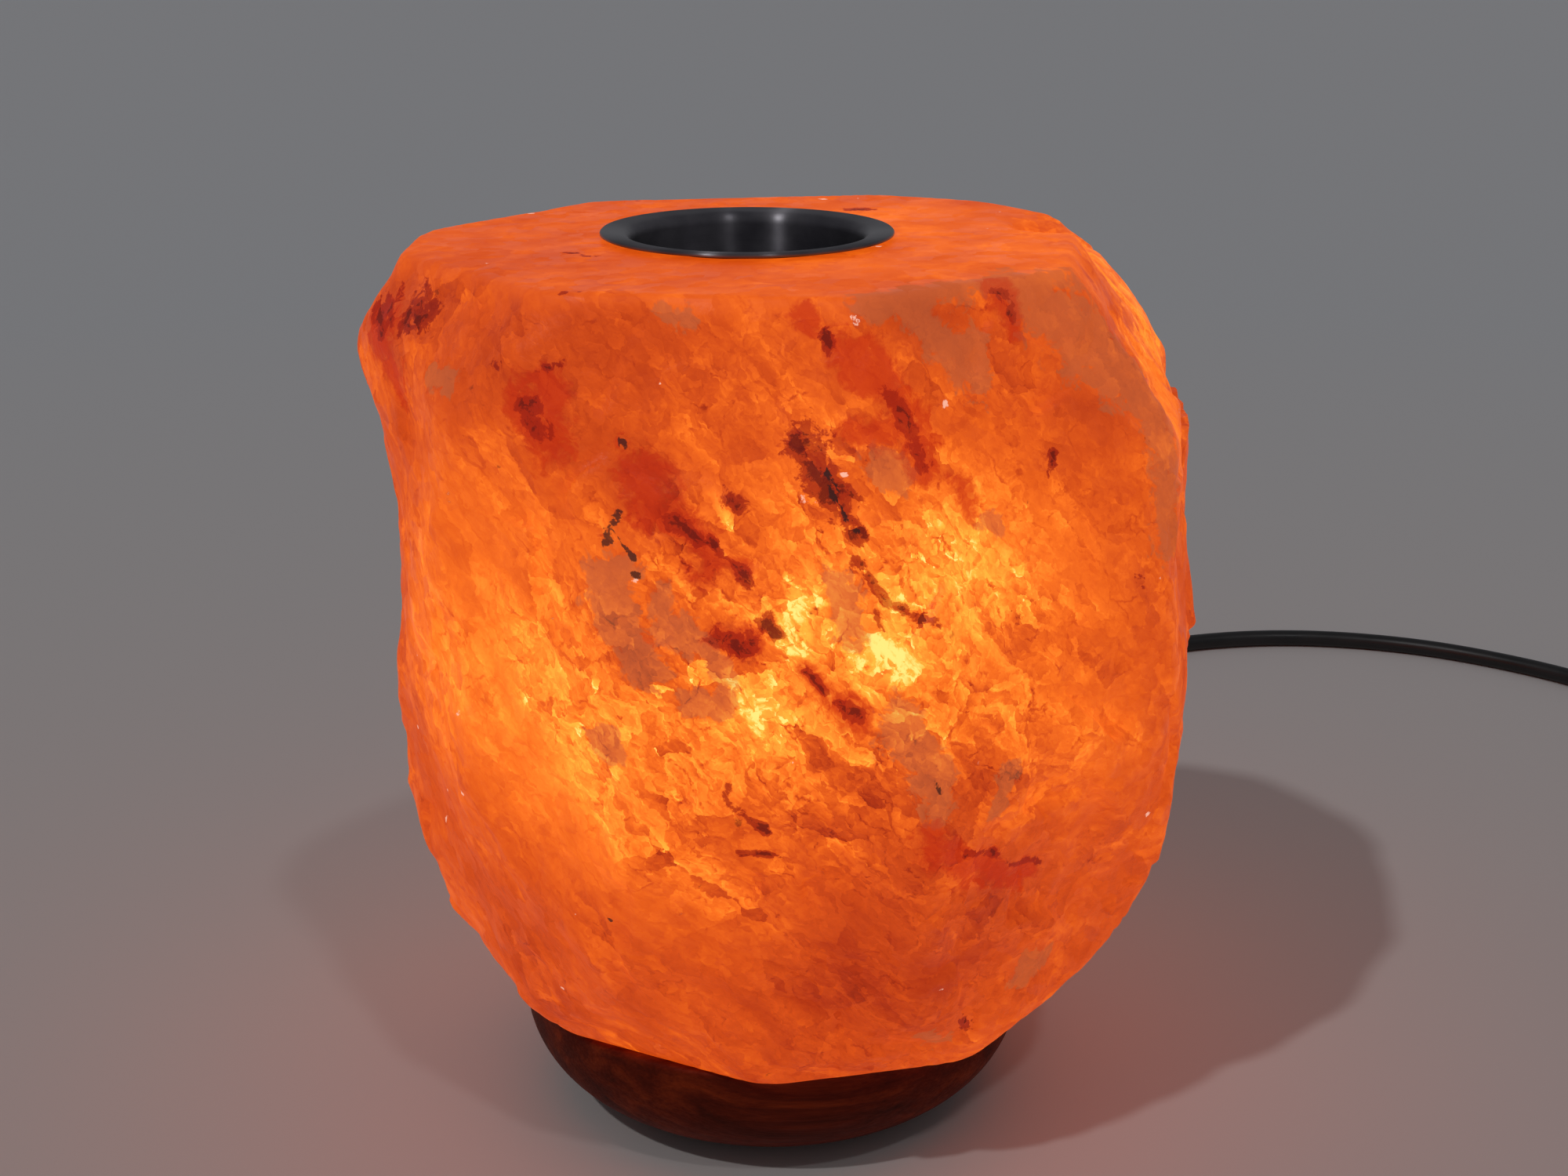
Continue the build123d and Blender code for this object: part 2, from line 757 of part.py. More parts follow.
def half_turn(start, end, heading):
    # semicircle between two joints, leaving square to the line between them
    (x0, z0), (x1, z1) = start, end
    reach = hypot(x1 - x0, z1 - z0) / 2
    middle = ((x0 + x1) / 2, heading * reach, (z0 + z1) / 2)
    return ThreePointArc((x0, 0, z0), middle, (x1, 0, z1))


def cord_coil():
    stops = coil_ends()
    first, last = stops[0], stops[-1]
    arcs = []
    for i, (start, end) in enumerate(zip(stops, stops[1:])):
        arcs.append(half_turn(start, end, -1 if i % 2 == 0 else 1))
    lead_in = Line((first[0], cord_diameter, first[1]), (first[0], 0, first[1]))
    away = -1 if len(arcs) % 2 == 0 else 1
    lead_out = Line((last[0], 0, last[1]), (last[0], away * cord_diameter, last[1]))
    path = Wire([lead_in] + arcs + [lead_out])
    section = Plane(origin=lead_in @ 0, z_dir=lead_in % 0) * Circle(cord_radius)
    tube = sweep(section, path)
    share = tube.volume / (pi * cord_radius ** 2 * path.length)
    print("cord_coil", f"length {path.length:.1f}, volume over section times length {share:.4f}",
          f"least gap to itself {coil_gap(arcs):.3f}")
    return Pos(coil_x, coil_y, 0) * tube


def coil_gap(arcs):
    # least distance between points over a third of a turn apart along the coil, less one diameter
    per_arc = 36
    points = [arc @ (k / per_arc) for arc in arcs for k in range(per_arc)]
    apart = 24
    nearest = min(
        (a - b).length for i, a in enumerate(points) for b in points[i + apart:]
    )
    return nearest - cord_diameter


def cord_ties():
    joints = coil_joints()
    ties = []
    for side in (-1, 1):
        turns = [(a + b) / 2 for a, b in zip(joints, joints[1:])]
        mine = turns[0::2] + [coil_inner_radius] if side < 0 else turns[1::2]
        near, far = min(mine) - cord_radius - tie_slack, max(mine) + cord_radius + tie_slack
        width, height = far - near, coil_high_z + cord_radius + tie_slack - tie_thickness
        inside = RectangleRounded(width, height, tie_corner_round)
        outside = RectangleRounded(
            width + 2 * tie_thickness, height + 2 * tie_thickness, tie_corner_round + tie_thickness)
        centre = (0, side * (near + far) / 2, tie_thickness + height / 2)
        middle = Plane(origin=centre, x_dir=(0, 1, 0), z_dir=(1, 0, 0))
        band = extrude(middle * (outside - inside), tie_width / 2, both=True)
        head_z = 2 * tie_thickness + height
        head = Pos(0, side * (near + far) / 2, head_z) * Box(
            tie_head_width, tie_head_length, tie_head_height, align=(Align.CENTER, Align.CENTER, Align.MIN))
        ties.append(Pos(coil_x, coil_y, 0) * (band + fillet(head.edges().filter_by(Axis.Z), tie_head_round)))
    return group(ties)


# In-line switch, drawn along X about its own middle
def tapered_relief(length, root_diameter):
    # ribbed cone along X from its tip at 0 to its root
    tip, root = relief_tip_diameter / 2, root_diameter / 2
    cone = Rot(0, 90, 0) * Cone(tip, root, length, align=(Align.CENTER, Align.CENTER, Align.MIN))
    step = length / (relief_ribs + 1)
    for i in range(relief_ribs):
        x = step * (i + 0.8)
        radius = tip + (root - tip) * x / length
        cut = Circle(radius + 1) - Circle(radius - relief_rib_depth)
        cone -= Plane(origin=(x, 0, 0), z_dir=(1, 0, 0)) * extrude(cut, relief_rib_gap)
    return cone


def switch_reliefs():
    reliefs = []
    neck_length = switch_wall + relief_neck_inside
    cone = tapered_relief(relief_length, relief_root_diameter)
    neck = Pos(relief_length, 0, 0) * Rot(0, 90, 0) * Cylinder(
        relief_neck_diameter / 2, neck_length, align=(Align.CENTER, Align.CENTER, Align.MIN))
    relief = Pos(-switch_end_y, 0, switch_cord_z) * (cone + neck)
    for turn in (0, 180):
        reliefs.append(switch_place * Rot(0, 0, turn) * relief)
    return group(reliefs)


def switch_box(low, high, inset=0.0):
    outline = RectangleRounded(switch_length - 2 * inset, switch_width - 2 * inset, switch_corner - inset)
    return Pos(0, 0, low) * extrude(outline, high - low)


def neck_holes():
    hole = Cylinder(relief_neck_diameter / 2 + relief_neck_clearance, 2 * switch_wall + 1)
    return [Pos(side * switch_length / 2, 0, switch_cord_z) * Rot(0, 90, 0) * hole for side in (-1, 1)]


def switch_screw_places():
    return [(-switch_screw_x, switch_screw_y), (switch_screw_x, -switch_screw_y)]


def switch_lower_shell():
    shell = switch_box(0, switch_split)
    shell = fillet(shell.faces().sort_by(Axis.Z)[0].edges(), switch_edge_round)
    shell -= switch_box(switch_wall, switch_split + 1, switch_wall)
    for x, y in switch_screw_places():
        shell += rod(switch_boss_diameter / 2, switch_wall / 2, switch_split, x, y)
        shell -= rod(switch_screw_diameter / 2 + screw_clearance, -1, switch_split + 1, x, y)
        head_top = switch_screw_recess + switch_screw_head_height
        shell -= rod(switch_screw_head_diameter / 2 + screw_clearance, -1, head_top, x, y)
    shell -= neck_holes()
    return switch_place * shell


def rocker_window():
    return Box(rocker_length + 2 * rocker_end_gap, rocker_width + 2 * rocker_side_gap, 4 * switch_wall)


def pin_half_length():
    return rocker_width / 2 + rocker_side_gap + pin_ear_width


def switch_upper_shell():
    shell = switch_box(switch_split, switch_height)
    shell = fillet(shell.faces().sort_by(Axis.Z)[-1].edges(), switch_edge_round)
    ceiling = switch_height - switch_wall
    shell -= switch_box(switch_split - 1, ceiling, switch_wall)
    for x, y in switch_screw_places():
        shell += rod(switch_boss_diameter / 2, switch_split, ceiling + switch_wall / 2, x, y)
        tip = switch_screw_recess + switch_screw_length + screw_clearance
        shell -= rod(switch_screw_diameter / 2 + screw_clearance, switch_split - 1, tip, x, y)
    for side in (-1, 1):
        y = side * (pin_half_length() - pin_ear_width / 2)
        height = ceiling + switch_wall / 2 - rocker_pin_z + pin_ear_below
        shell += Pos(0, y, rocker_pin_z - pin_ear_below) * Box(
            pin_ear_length, pin_ear_width, height, align=(Align.CENTER, Align.CENTER, Align.MIN))
    shell -= Pos(0, 0, switch_height) * rocker_window()
    pin_hole = Cylinder(rocker_pin_diameter / 2, 2 * pin_half_length() + 1)
    shell -= Pos(0, 0, rocker_pin_z) * Rot(90, 0, 0) * pin_hole
    shell -= neck_holes()
    return switch_place * shell


def switch_rocker():
    half = rocker_length / 2
    outline = [
        (-half, -rocker_skirt), (-half, rocker_top), (0, rocker_top - rocker_dip), (half, rocker_top),
        (half, -rocker_skirt), (rocker_toe_width / 2, -rocker_toe), (-rocker_toe_width / 2, -rocker_toe),
    ]
    face = Plane.XZ * make_face(Polyline(*outline, close=True))
    rocker = extrude(face, rocker_width / 2, both=True)
    rocker -= Rot(90, 0, 0) * Cylinder(rocker_pin_diameter / 2 + rocker_pin_play, 2 * rocker_width)
    return switch_place * Pos(0, 0, rocker_pin_z) * Rot(0, rocker_tilt, 0) * rocker


def rocker_pin():
    pin = Rot(90, 0, 0) * Cylinder(rocker_pin_diameter / 2, 2 * pin_half_length())
    return switch_place * Pos(0, 0, rocker_pin_z) * pin


def switch_screws():
    screws = []
    for x, y in switch_screw_places():
        low = switch_screw_recess
        neck = low + switch_screw_head_height
        head = rod(switch_screw_head_diameter / 2, low, neck, x, y)
        slot = Pos(x, y, low) * Box(switch_screw_head_diameter, drive_slot_width, drive_slot_depth)
        shank = rod(switch_screw_diameter / 2, neck, low + switch_screw_length, x, y)
        screws.append(switch_place * (head - slot + shank))
    return group(screws)


def switch_terminals():
    blocks = []
    for side in (-1, 1):
        block = Pos(side * terminal_block_spacing / 2, 0, switch_wall) * Box(
            terminal_block_length, terminal_block_width, terminal_block_height,
            align=(Align.CENTER, Align.CENTER, Align.MIN))
        blocks.append(switch_place * chamfer(block.edges().filter_by(Axis.Z), terminal_block_chamfer))
    return group(blocks)


def contact_leaf():
    # springy strip from the first terminal up to the rocker's toe
    level = switch_wall + terminal_block_height
    peak = rocker_pin_z - hypot(rocker_toe, rocker_toe_width / 2) - leaf_gap
    start = -terminal_block_spacing / 2 - terminal_block_length / 2
    bend = -terminal_block_spacing / 2 + terminal_block_length / 2
    t = leaf_thickness
    outline = [
        (start, level), (bend, level), (0, peak - t), (-bend, level + 2 * t), (-bend, level + 3 * t),
        (0, peak), (bend, level + t), (start, level + t),
    ]
    face = Plane.XZ * make_face(Polyline(*outline, close=True))
    return switch_place * extrude(face, leaf_width / 2, both=True)


# Plug, drawn along X from the tip of its relief
def plug_relief():
    return plug_place * Pos(0, 0, plug_z) * tapered_relief(plug_relief_length, plug_relief_root_diameter)


def pin_places():
    return [side * pin_spacing / 2 for side in (-1, 1)]


def plug_body():
    rear, front = plug_relief_length, plug_relief_length + plug_length
    wide, narrow = plug_width / 2, plug_rear_width / 2
    outline = [
        (rear, -narrow), (rear + plug_shoulder, -wide), (front, -wide), (front, wide),
        (rear + plug_shoulder, wide), (rear, narrow),
    ]
    body = extrude(make_face(Polyline(*outline, close=True)), plug_thickness)
    body = fillet(body.edges(), plug_edge_round)
    for y in pin_places():
        body -= Pos(front - pin_root, y, plug_z) * Rot(0, 90, 0) * Cylinder(
            sleeve_diameter / 2, pin_root + 1, align=(Align.CENTER, Align.CENTER, Align.MIN))
    return plug_place * body


def along_x(radius, start, end, y):
    return Pos(start, y, plug_z) * Rot(0, 90, 0) * Cylinder(
        radius, end - start, align=(Align.CENTER, Align.CENTER, Align.MIN))


def plug_pins():
    pins = []
    front = plug_relief_length + plug_length
    for y in pin_places():
        bare = along_x(pin_diameter / 2, front + sleeve_length, front + pin_length, y)
        bare = fillet(bare.edges().sort_by(Axis.X)[-1], pin_diameter / 4)
        core = along_x(sleeve_core_diameter / 2, front - pin_root, front + sleeve_length, y)
        pins.append(plug_place * (bare + core))
    return group(pins)


def pin_sleeves():
    sleeves = []
    front = plug_relief_length + plug_length
    for y in pin_places():
        sleeve = along_x(sleeve_diameter / 2, front - pin_root, front + sleeve_length, y)
        core = along_x(sleeve_core_diameter / 2, front - pin_root - 1, front + sleeve_length + 1, y)
        sleeves.append(plug_place * (sleeve - core))
    return group(sleeves)


os.makedirs("parts", exist_ok=True)
nodes = {
    "salt_block": salt_block(),
    "wood_base": wood_base(),
    "rubber_feet": rubber_feet(),
    "base_screws": base_screws(),
    "screw_plugs": screw_plugs(),
    "aroma_dish": aroma_dish(),
    "holder_cap": holder_cap(),
    "holder_body": holder_body(),
    "holder_insert": holder_insert(),
    "thread_shell": thread_shell(),
    "centre_contact": centre_contact(),
    "terminal_screws": terminal_screws(),
    "lead_wires": wires(),
    "spring_clips": spring_clips(),
    "clip_rivets": clip_rivets(),
    "bulb_glass": bulb_glass(),
    "bulb_cap": bulb_cap(),
    "bulb_insulator": bulb_insulator(),
    "bulb_contact": bulb_contact(),
    "bulb_stem": bulb_stem(),
    "bulb_leads": bulb_leads(),
    "bulb_filament": bulb_filament(),
    "inner_cord": inner_cord(),
    "cord_clip": cord_clip(),
    "clip_screws": clip_screws(),
    "cord_run": cord_tube("cord_run", run_points),
    "cord_link": cord_tube("cord_link", link_points),
    "cord_coil": cord_coil(),
    "cord_ties": cord_ties(),
    "cord_tail": cord_tube("cord_tail", tail_points),
    "switch_lower_shell": switch_lower_shell(),
    "switch_upper_shell": switch_upper_shell(),
    "switch_rocker": switch_rocker(),
    "rocker_pin": rocker_pin(),
    "switch_screws": switch_screws(),
    "switch_terminals": switch_terminals(),
    "contact_leaf": contact_leaf(),
    "switch_reliefs": switch_reliefs(),
    "plug_relief": plug_relief(),
    "plug_body": plug_body(),
    "plug_pins": plug_pins(),
    "pin_sleeves": pin_sleeves(),
}
for node, shape in nodes.items():
    export_step(shape, f"parts/{node}.step")
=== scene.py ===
import math

import bpy
import numpy as np
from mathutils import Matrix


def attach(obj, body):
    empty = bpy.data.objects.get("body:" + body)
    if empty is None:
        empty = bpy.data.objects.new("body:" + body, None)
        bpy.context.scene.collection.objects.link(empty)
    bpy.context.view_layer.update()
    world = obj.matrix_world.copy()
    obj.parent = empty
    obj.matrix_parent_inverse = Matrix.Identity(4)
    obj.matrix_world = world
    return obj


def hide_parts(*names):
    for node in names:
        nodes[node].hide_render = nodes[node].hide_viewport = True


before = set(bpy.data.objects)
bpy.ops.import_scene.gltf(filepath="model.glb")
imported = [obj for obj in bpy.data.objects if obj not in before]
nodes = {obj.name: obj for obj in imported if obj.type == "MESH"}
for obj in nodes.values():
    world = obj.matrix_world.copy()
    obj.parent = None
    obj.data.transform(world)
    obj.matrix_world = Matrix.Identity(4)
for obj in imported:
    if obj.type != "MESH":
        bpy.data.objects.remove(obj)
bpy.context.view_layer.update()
mm = 0.001
print("frame loaded:", len(nodes), "nodes")


def linear(hexText):
    # sRGB hex to linear light, one channel at a time
    c = np.array([int(hexText[i:i + 2], 16) / 255 for i in (1, 3, 5)])
    c = np.where(c <= 0.04045, c / 12.92, ((c + 0.055) / 1.055) ** 2.4)
    return (float(c[0]), float(c[1]), float(c[2]), 1.0)


def put(tree, kind, ins=None, stops=None, **settings):
    # adds one node; ins gives each socket a value or another node's output, stops fills a colour ramp
    node = tree.nodes.new("ShaderNode" + kind)
    for name, value in settings.items():
        setattr(node, name, value)
    for key, value in (ins or {}).items():
        if isinstance(value, bpy.types.NodeSocket):
            tree.links.new(value, node.inputs[key])
        else:
            node.inputs[key].default_value = value
    if stops:
        ramp = node.color_ramp
        while len(ramp.elements) < len(stops):
            ramp.elements.new(1.0)
        for element, (at, colour) in zip(ramp.elements, stops):
            element.position = at
            element.color = linear(colour)
    return node


def newMaterial(name):
    material = bpy.data.materials.new(name)
    material.use_nodes = True
    return material, material.node_tree, material.node_tree.nodes["Principled BSDF"]


def dress(material, *names):
    # gives a material to CAD nodes, in every slot they have
    for name in names:
        mesh = nodes[name].data
        mesh.materials.clear()
        mesh.materials.append(material)


def skin(name, rings, firstCap=None, lastCap=None):
    # closed rings of equal count, joined by four-sided faces; a cap is a point that closes an end as a fan
    count, around, _ = rings.shape
    i = np.arange(count - 1)[:, None] * around
    j = np.arange(around)[None, :]
    k = (j + 1) % around
    quads = np.stack([i + j, i + around + j, i + around + k, i + k], -1).reshape(-1, 4)
    points = rings.reshape(-1, 3)
    ring = np.arange(around)
    fans = []
    for cap, start, flip in ((firstCap, 0, True), (lastCap, (count - 1) * around, False)):
        if cap is not None:
            tip = np.full(around, len(points))
            points = np.vstack([points, np.array(cap)[None]])
            one, two = start + ring, start + (ring + 1) % around
            fans.append(np.stack([one, two, tip] if flip else [two, one, tip], -1))
    corners = np.concatenate([quads.ravel()] + [f.ravel() for f in fans])
    sizes = np.concatenate([np.full(len(quads), 4)] + [np.full(len(f), 3) for f in fans])
    mesh = bpy.data.meshes.new(name)
    mesh.vertices.add(len(points))
    mesh.vertices.foreach_set("co", (points * mm).astype(np.float32).ravel())
    mesh.loops.add(len(corners))
    mesh.loops.foreach_set("vertex_index", corners.astype(np.int32))
    mesh.polygons.add(len(sizes))
    mesh.polygons.foreach_set("loop_start", (np.cumsum(sizes) - sizes).astype(np.int32))
    mesh.polygons.foreach_set("use_smooth", np.ones(len(sizes), bool))
    mesh.update(calc_edges=True)
    mesh.validate()
    piece = bpy.data.objects.new(name, mesh)
    bpy.context.scene.collection.objects.link(piece)
    return piece


# Camera: the photograph's place, pitch and lens
cameraSet = {
    "lens": 52.2, "sensor": 36.0, "clip": (0.01, 60.0),
    "place": (0.0, -0.463, 0.266), "pitch": 71.9, "pixels": (2000, 1500),
}
cameraData = bpy.data.cameras.new("photoCamera")
cameraData.sensor_width = cameraSet["sensor"]
cameraData.lens = cameraSet["lens"]
cameraData.clip_start, cameraData.clip_end = cameraSet["clip"]
camera = bpy.data.objects.new("photoCamera", cameraData)
camera.location = cameraSet["place"]
camera.rotation_euler = (math.radians(cameraSet["pitch"]), 0.0, 0.0)
bpy.context.scene.collection.objects.link(camera)
bpy.context.scene.camera = camera
print("camera placed")

# Mains lead: base to switch, then switch to plug with the spare length wound up and tied
leadSet = {
    "diameter": 5.4, "order": 3, "stepsPerPoint": 8, "roundSteps": 5,  # millimetres; how the curve is drawn
    "run": [
        (-2.5, 50, 5.5), (-2.5, 68, 5.5), (-0.5, 94, 2.8), (8, 128, 2.7), (23, 168, 2.7), (48, 208, 2.7),
        (82, 246, 2.7), (124, 277, 2.7), (170, 289, 2.7), (215, 281, 2.7), (252, 258, 2.7), (279, 228, 2.7),
        (292, 204, 3.9), (296, 186, 6.5), (296, 170, 6.5),
    ],
    "link": [(296, 68, 6.5), (296, 57, 6.5), (295.9125, 38, 3.9), (295.9125, 25.4, 3.9)],
    "tail": [
        (292.9875, 14.6, 9.75), (292.9875, 2, 9.75), (293.6, -13, 7.7), (294, -26, 6.85), (294, -36, 6.85),
    ],
    "coilCentre": (255, 20),
    "lowRadii": [40.9125, 37.9875, 35.0625, 32.1375, 29.2125, 26.2875, 21.9],
    "highRadii": [21.9, 26.2875, 29.2125, 32.1375, 35.0625, 37.9875],
    "lowZ": 3.9, "highZ": 9.75, "perHalfTurn": 9,
}


def coilPoints(lead):
    # half circles between joints that step in, climb and step out; z eases from low to high on the climb
    radii = lead["lowRadii"] + lead["highRadii"]
    levels = [lead["lowZ"]] * len(lead["lowRadii"]) + [lead["highZ"]] * len(lead["highRadii"])
    cx, cy = lead["coilCentre"]
    share = (np.arange(lead["perHalfTurn"]) + 0.5) / lead["perHalfTurn"]
    grow = 1 / math.cos(math.pi / lead["perHalfTurn"] / 2)  # the spline runs inside its points by this much
    route = []
    for i in range(len(radii) - 1):
        side = 1 if i % 2 == 0 else -1
        middle = cx + side * (radii[i] - radii[i + 1]) / 2
        reach = (radii[i] + radii[i + 1]) / 2 * grow
        turn = math.pi * share
        rise = (1 - np.cos(turn)) / 2
        route.append(np.stack([
            middle + side * reach * np.cos(turn), cy - side * reach * np.sin(turn),
            levels[i] + (levels[i + 1] - levels[i]) * rise,
        ], -1))
    return np.concatenate(route)


def leadCurve(name, route, lead):
    # one open spline with the route's points as its control points, and a round section
    curve = bpy.data.curves.new(name, "CURVE")
    curve.dimensions = "3D"
    spline = curve.splines.new("NURBS")
    route = np.asarray(route, float)
    spline.points.add(len(route) - 1)
    spline.points.foreach_set("co", np.c_[route * mm, np.ones(len(route))].astype(np.float32).ravel())
    spline.order_u = lead["order"]
    spline.use_endpoint_u = True
    spline.resolution_u = lead["stepsPerPoint"]
    spline.points.foreach_set("radius", np.full(len(route), lead["diameter"] * mm / 2, np.float32))
    curve.bevel_depth = 1.0  # times each point's radius, which keeps the curve's own box true
    curve.bevel_resolution = lead["roundSteps"]
    curve.use_fill_caps = True
    piece = bpy.data.objects.new(name, curve)
    bpy.context.scene.collection.objects.link(piece)
    return piece


runLead = leadCurve("leadToSwitch", leadSet["run"], leadSet)
spareRoute = np.concatenate([np.array(leadSet["link"]), coilPoints(leadSet), np.array(leadSet["tail"])])
spareLead = leadCurve("leadToPlug", spareRoute, leadSet)
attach(runLead, "lamp")
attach(spareLead, "lamp")
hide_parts("cord_run")
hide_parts("cord_link", "cord_coil", "cord_tail")
print("leads laid")

# Salt block
stoneSet = {
    "heart": (-7.5, 0.0, 108.0),  # rays to the surface start here, under the dish
    "around": 440, "rows": 196, "roughRows": 400, "frontShare": 0.35,  # points round it, more in front
    "pocketLip": 0.4, "footRadius": 44.0,  # where the first row starts and the last one ends
    "pocketRound": 1.0, "pocketEdge": 0.6, "cavityRound": 3.0, "cavityEdge": 0.6, "cavityBorder": 6.0,
    "leastFacing": 0.02, "scarFacing": 0.1,  # a face turned further from the ray than this is passed over
    "edgeSoft": 1.1, "endSoft": 0.45, "swell": 0.6,  # rounding of hewn and sawn edges, and what it takes off
    "pocketRadius": 25.4, "pocketFloor": 169.8, "topZ": 190.0,
    "cavityRadius": 23.0, "cavityTop": 125.5, "cavityAxis": (-2.5, 0.0), "footZ": 28.5,
    "lumps": ((26.0, 0.35, 2), (13.0, 0.55, 3), (6.0, 0.45, 5), (2.8, 0.22, 8)),  # size, height, seed
    "flakes": (420, 0.40, 0.045, 9.0, 21),  # count, step, tilt, border, seed
    "sawnBand": (4.0, 3.0), "sawnCalm": 0.9, "footBand": (2.5, 2.0),  # the relief fades at the sawn ends
    "footRise": 0.05, "topRise": 0.15,  # how far the relief may pass the sawn ends
    "oval": (88.0, 79.0),
    "faces": {  # the solid's hewn faces by level over the foot: direction, lean, inset from the oval
        161.5: [(178, 33, 14), (-142, 30, 14), (-96, 14, 15), (-55, 17, 21), (-8, 37, 30),
                (-2, 21, 19), (34, 24, 20.5), (66, 30, 17), (100, 14, 24), (142, 26, 21)],
        80.0: [(-90, 2, -0.7), (-54, 3, 0), (-14, 1, 3), (24, -1, 5.3), (62, 3, 2),
               (98, 0, 3), (136, 2, 8), (174, -3.3, 7.3), (-154, -2.4, 5.4), (-122, 0, 2)],
        34.0: [(180, -15, 11.5), (-140, -17, 11), (-96, -16, 9), (-50, -15, 11),
               (-8, -15, 7.8), (36, -16, 12), (80, -14, 11), (128, -16, 15)],
        0.0: [(166, -38, 30), (-158, -37, 30), (-118, -38, 27), (-76, -36, 23), (-36, -38, 27),
              (4, -36, 30), (48, -38, 27), (90, -36, 22), (128, -38, 27)],
    },
    "hollows": [  # the solid's broad hollows: direction, lean, inset, level over the foot, radius
        (-168, -2, 7.6, 106, 100), (-8, 4, 6.1, 116.5, 110), (104, 0, 6.0, 95, 120),
        (150, -2, 10.7, 60, 110), (44, 2, 3.7, 70, 110),
    ],
    # rows of flake scars: level, count, first direction
    "scars": [(26, 8, 12), (54, 9, 34), (82, 10, 4), (110, 9, 24), (136, 8, 30)],
    "scarDepth": 1.5, "scarChange": 0.5, "scarStep": 137.0, "scarRadius": 90.0,
    "bulges": [  # place on the photograph, reach and height in millimetres
        (1350, 284, 7, -7.0), (1424, 350, 9, 2.4), (1500, 890, 15, 1.2), (1296, 1286, 11, 2.0),
        (676, 1240, 10, 2.0), (560, 1060, 18, -2.2),
    ],
    "dents": [((86.0, 13.0, 154.0), 7.0, -2.3)],  # place, reach and height in millimetres
}
farAway = 1e4  # millimetres, where a ray meets nothing


def hewnFaces(s, rows):
    # a point on each face and the way it looks: the oval drawn in by the inset, leaned up from upright
    azimuth, lean, inset, level = np.array(rows, float).T
    azimuth, lean = np.radians(azimuth), np.radians(lean)
    reach = np.hypot(s["oval"][0] * np.cos(azimuth), s["oval"][1] * np.sin(azimuth)) - inset
    place = np.stack([reach * np.cos(azimuth), reach * np.sin(azimuth), s["footZ"] + level], -1)
    look = np.stack([np.cos(lean) * np.cos(azimuth), np.cos(lean) * np.sin(azimuth), np.sin(lean)], -1)
    return place, look


def hollowBalls(s, places, looks):
    # balls that touch the deepest places of hollows and scars from outside
    # a scar lies on the face that its level way meets first
    place, look = hewnFaces(s, [h[:4] for h in s["hollows"]])
    radii = np.array([h[4] for h in s["hollows"]], float)
    centres = [place + look * radii[:, None]]
    for row, (level, count, first) in enumerate(s["scars"]):
        i = np.arange(count)
        azimuth = np.radians(first + 360 / count * i)
        way = np.stack([np.cos(azimuth), np.sin(azimuth), 0 * azimuth], -1)
        start = np.array([0.0, 0.0, s["footZ"] + level])
        facing = way @ looks.T
        least = s["scarFacing"]
        gap = ((places - start) * looks).sum(1)
        reach = np.where(facing > least, gap / np.maximum(facing, least), farAway)
        depth = s["scarDepth"] + s["scarChange"] * np.sin(np.radians(s["scarStep"] * (i + row / 2)))
        onFace = start + way * reach.min(1)[:, None]
        centres.append(onFace + looks[reach.argmin(1)] * (s["scarRadius"] - depth)[:, None])
    centres = np.concatenate(centres)
    return centres, np.concatenate([radii, np.full(len(centres) - len(radii), s["scarRadius"])])


faceRows = [(*face, level) for level, faces in stoneSet["faces"].items() for face in faces]
facePlaces, faceLooks = hewnFaces(stoneSet, faceRows)
ballCentres, ballRadii = hollowBalls(stoneSet, facePlaces, faceLooks)
planeNormals = np.concatenate([faceLooks, [[0, 0, 1], [0, 0, -1]]])  # the last two are the sawn top and foot
planeReach = np.concatenate([(facePlaces * faceLooks).sum(1), [stoneSet["topZ"], -stoneSet["footZ"]]])
heart = np.array(stoneSet["heart"])
print("stone faces:", len(planeReach), "hollows and scars:", len(ballRadii))


def softLeast(t, k):
    # -k ln sum exp(-t/k): the least of several distances, rounded over about k where two are alike
    least = t.min(-1, keepdims=True)
    return least[..., 0] - k * np.log(np.exp(-(t - least) / k).sum(-1))


def stoneRadius(ray):
    # soft least of the distances to hewn faces and hollows along a ray, then of that and the two sawn ends
    facing = ray @ planeNormals.T
    ends = np.abs(planeNormals[:, 2]) > 0.99
    gap = planeReach - planeNormals @ heart + np.where(ends, 0.0, stoneSet["swell"])
    least = stoneSet["leastFacing"]
    t = np.where(facing > least, gap / np.maximum(facing, least), farAway)
    along = ray @ (ballCentres - heart).T
    inner = along ** 2 - ((ballCentres - heart) ** 2).sum(1) + ballRadii ** 2
    entry = np.where((inner > 0) & (along > 0), along - np.sqrt(np.maximum(inner, 0)), farAway)
    hewn = softLeast(np.concatenate([t[..., ~ends], entry], -1), stoneSet["edgeSoft"])
    return softLeast(np.concatenate([hewn[..., None], t[..., ends]], -1), stoneSet["endSoft"])


def onStone(px, py):
    # the point of the stone that a pixel of the photograph shows: its sight line cut by the faces
    wide, high = cameraSet["pixels"]
    focal = wide * cameraSet["lens"] / cameraSet["sensor"]
    a = math.radians(90 - cameraSet["pitch"])
    right, up = (px - wide / 2) / focal, (high / 2 - py) / focal
    sight = np.array([right, math.cos(a) + up * math.sin(a), up * math.cos(a) - math.sin(a)])
    eye = np.array(cameraSet["place"]) / mm
    along = planeNormals @ sight
    t = np.where(along < 0, (planeReach - planeNormals @ eye) / np.minimum(along, -1e-9), -1e9).max()
    ray = eye + t * sight - heart
    ray = ray / np.linalg.norm(ray)
    return heart + ray * stoneRadius(ray[None])[0]


latticeCells = 40  # the noise repeats after that many cells
latticeShift = 1000  # cells, keeps places on the lattice above zero


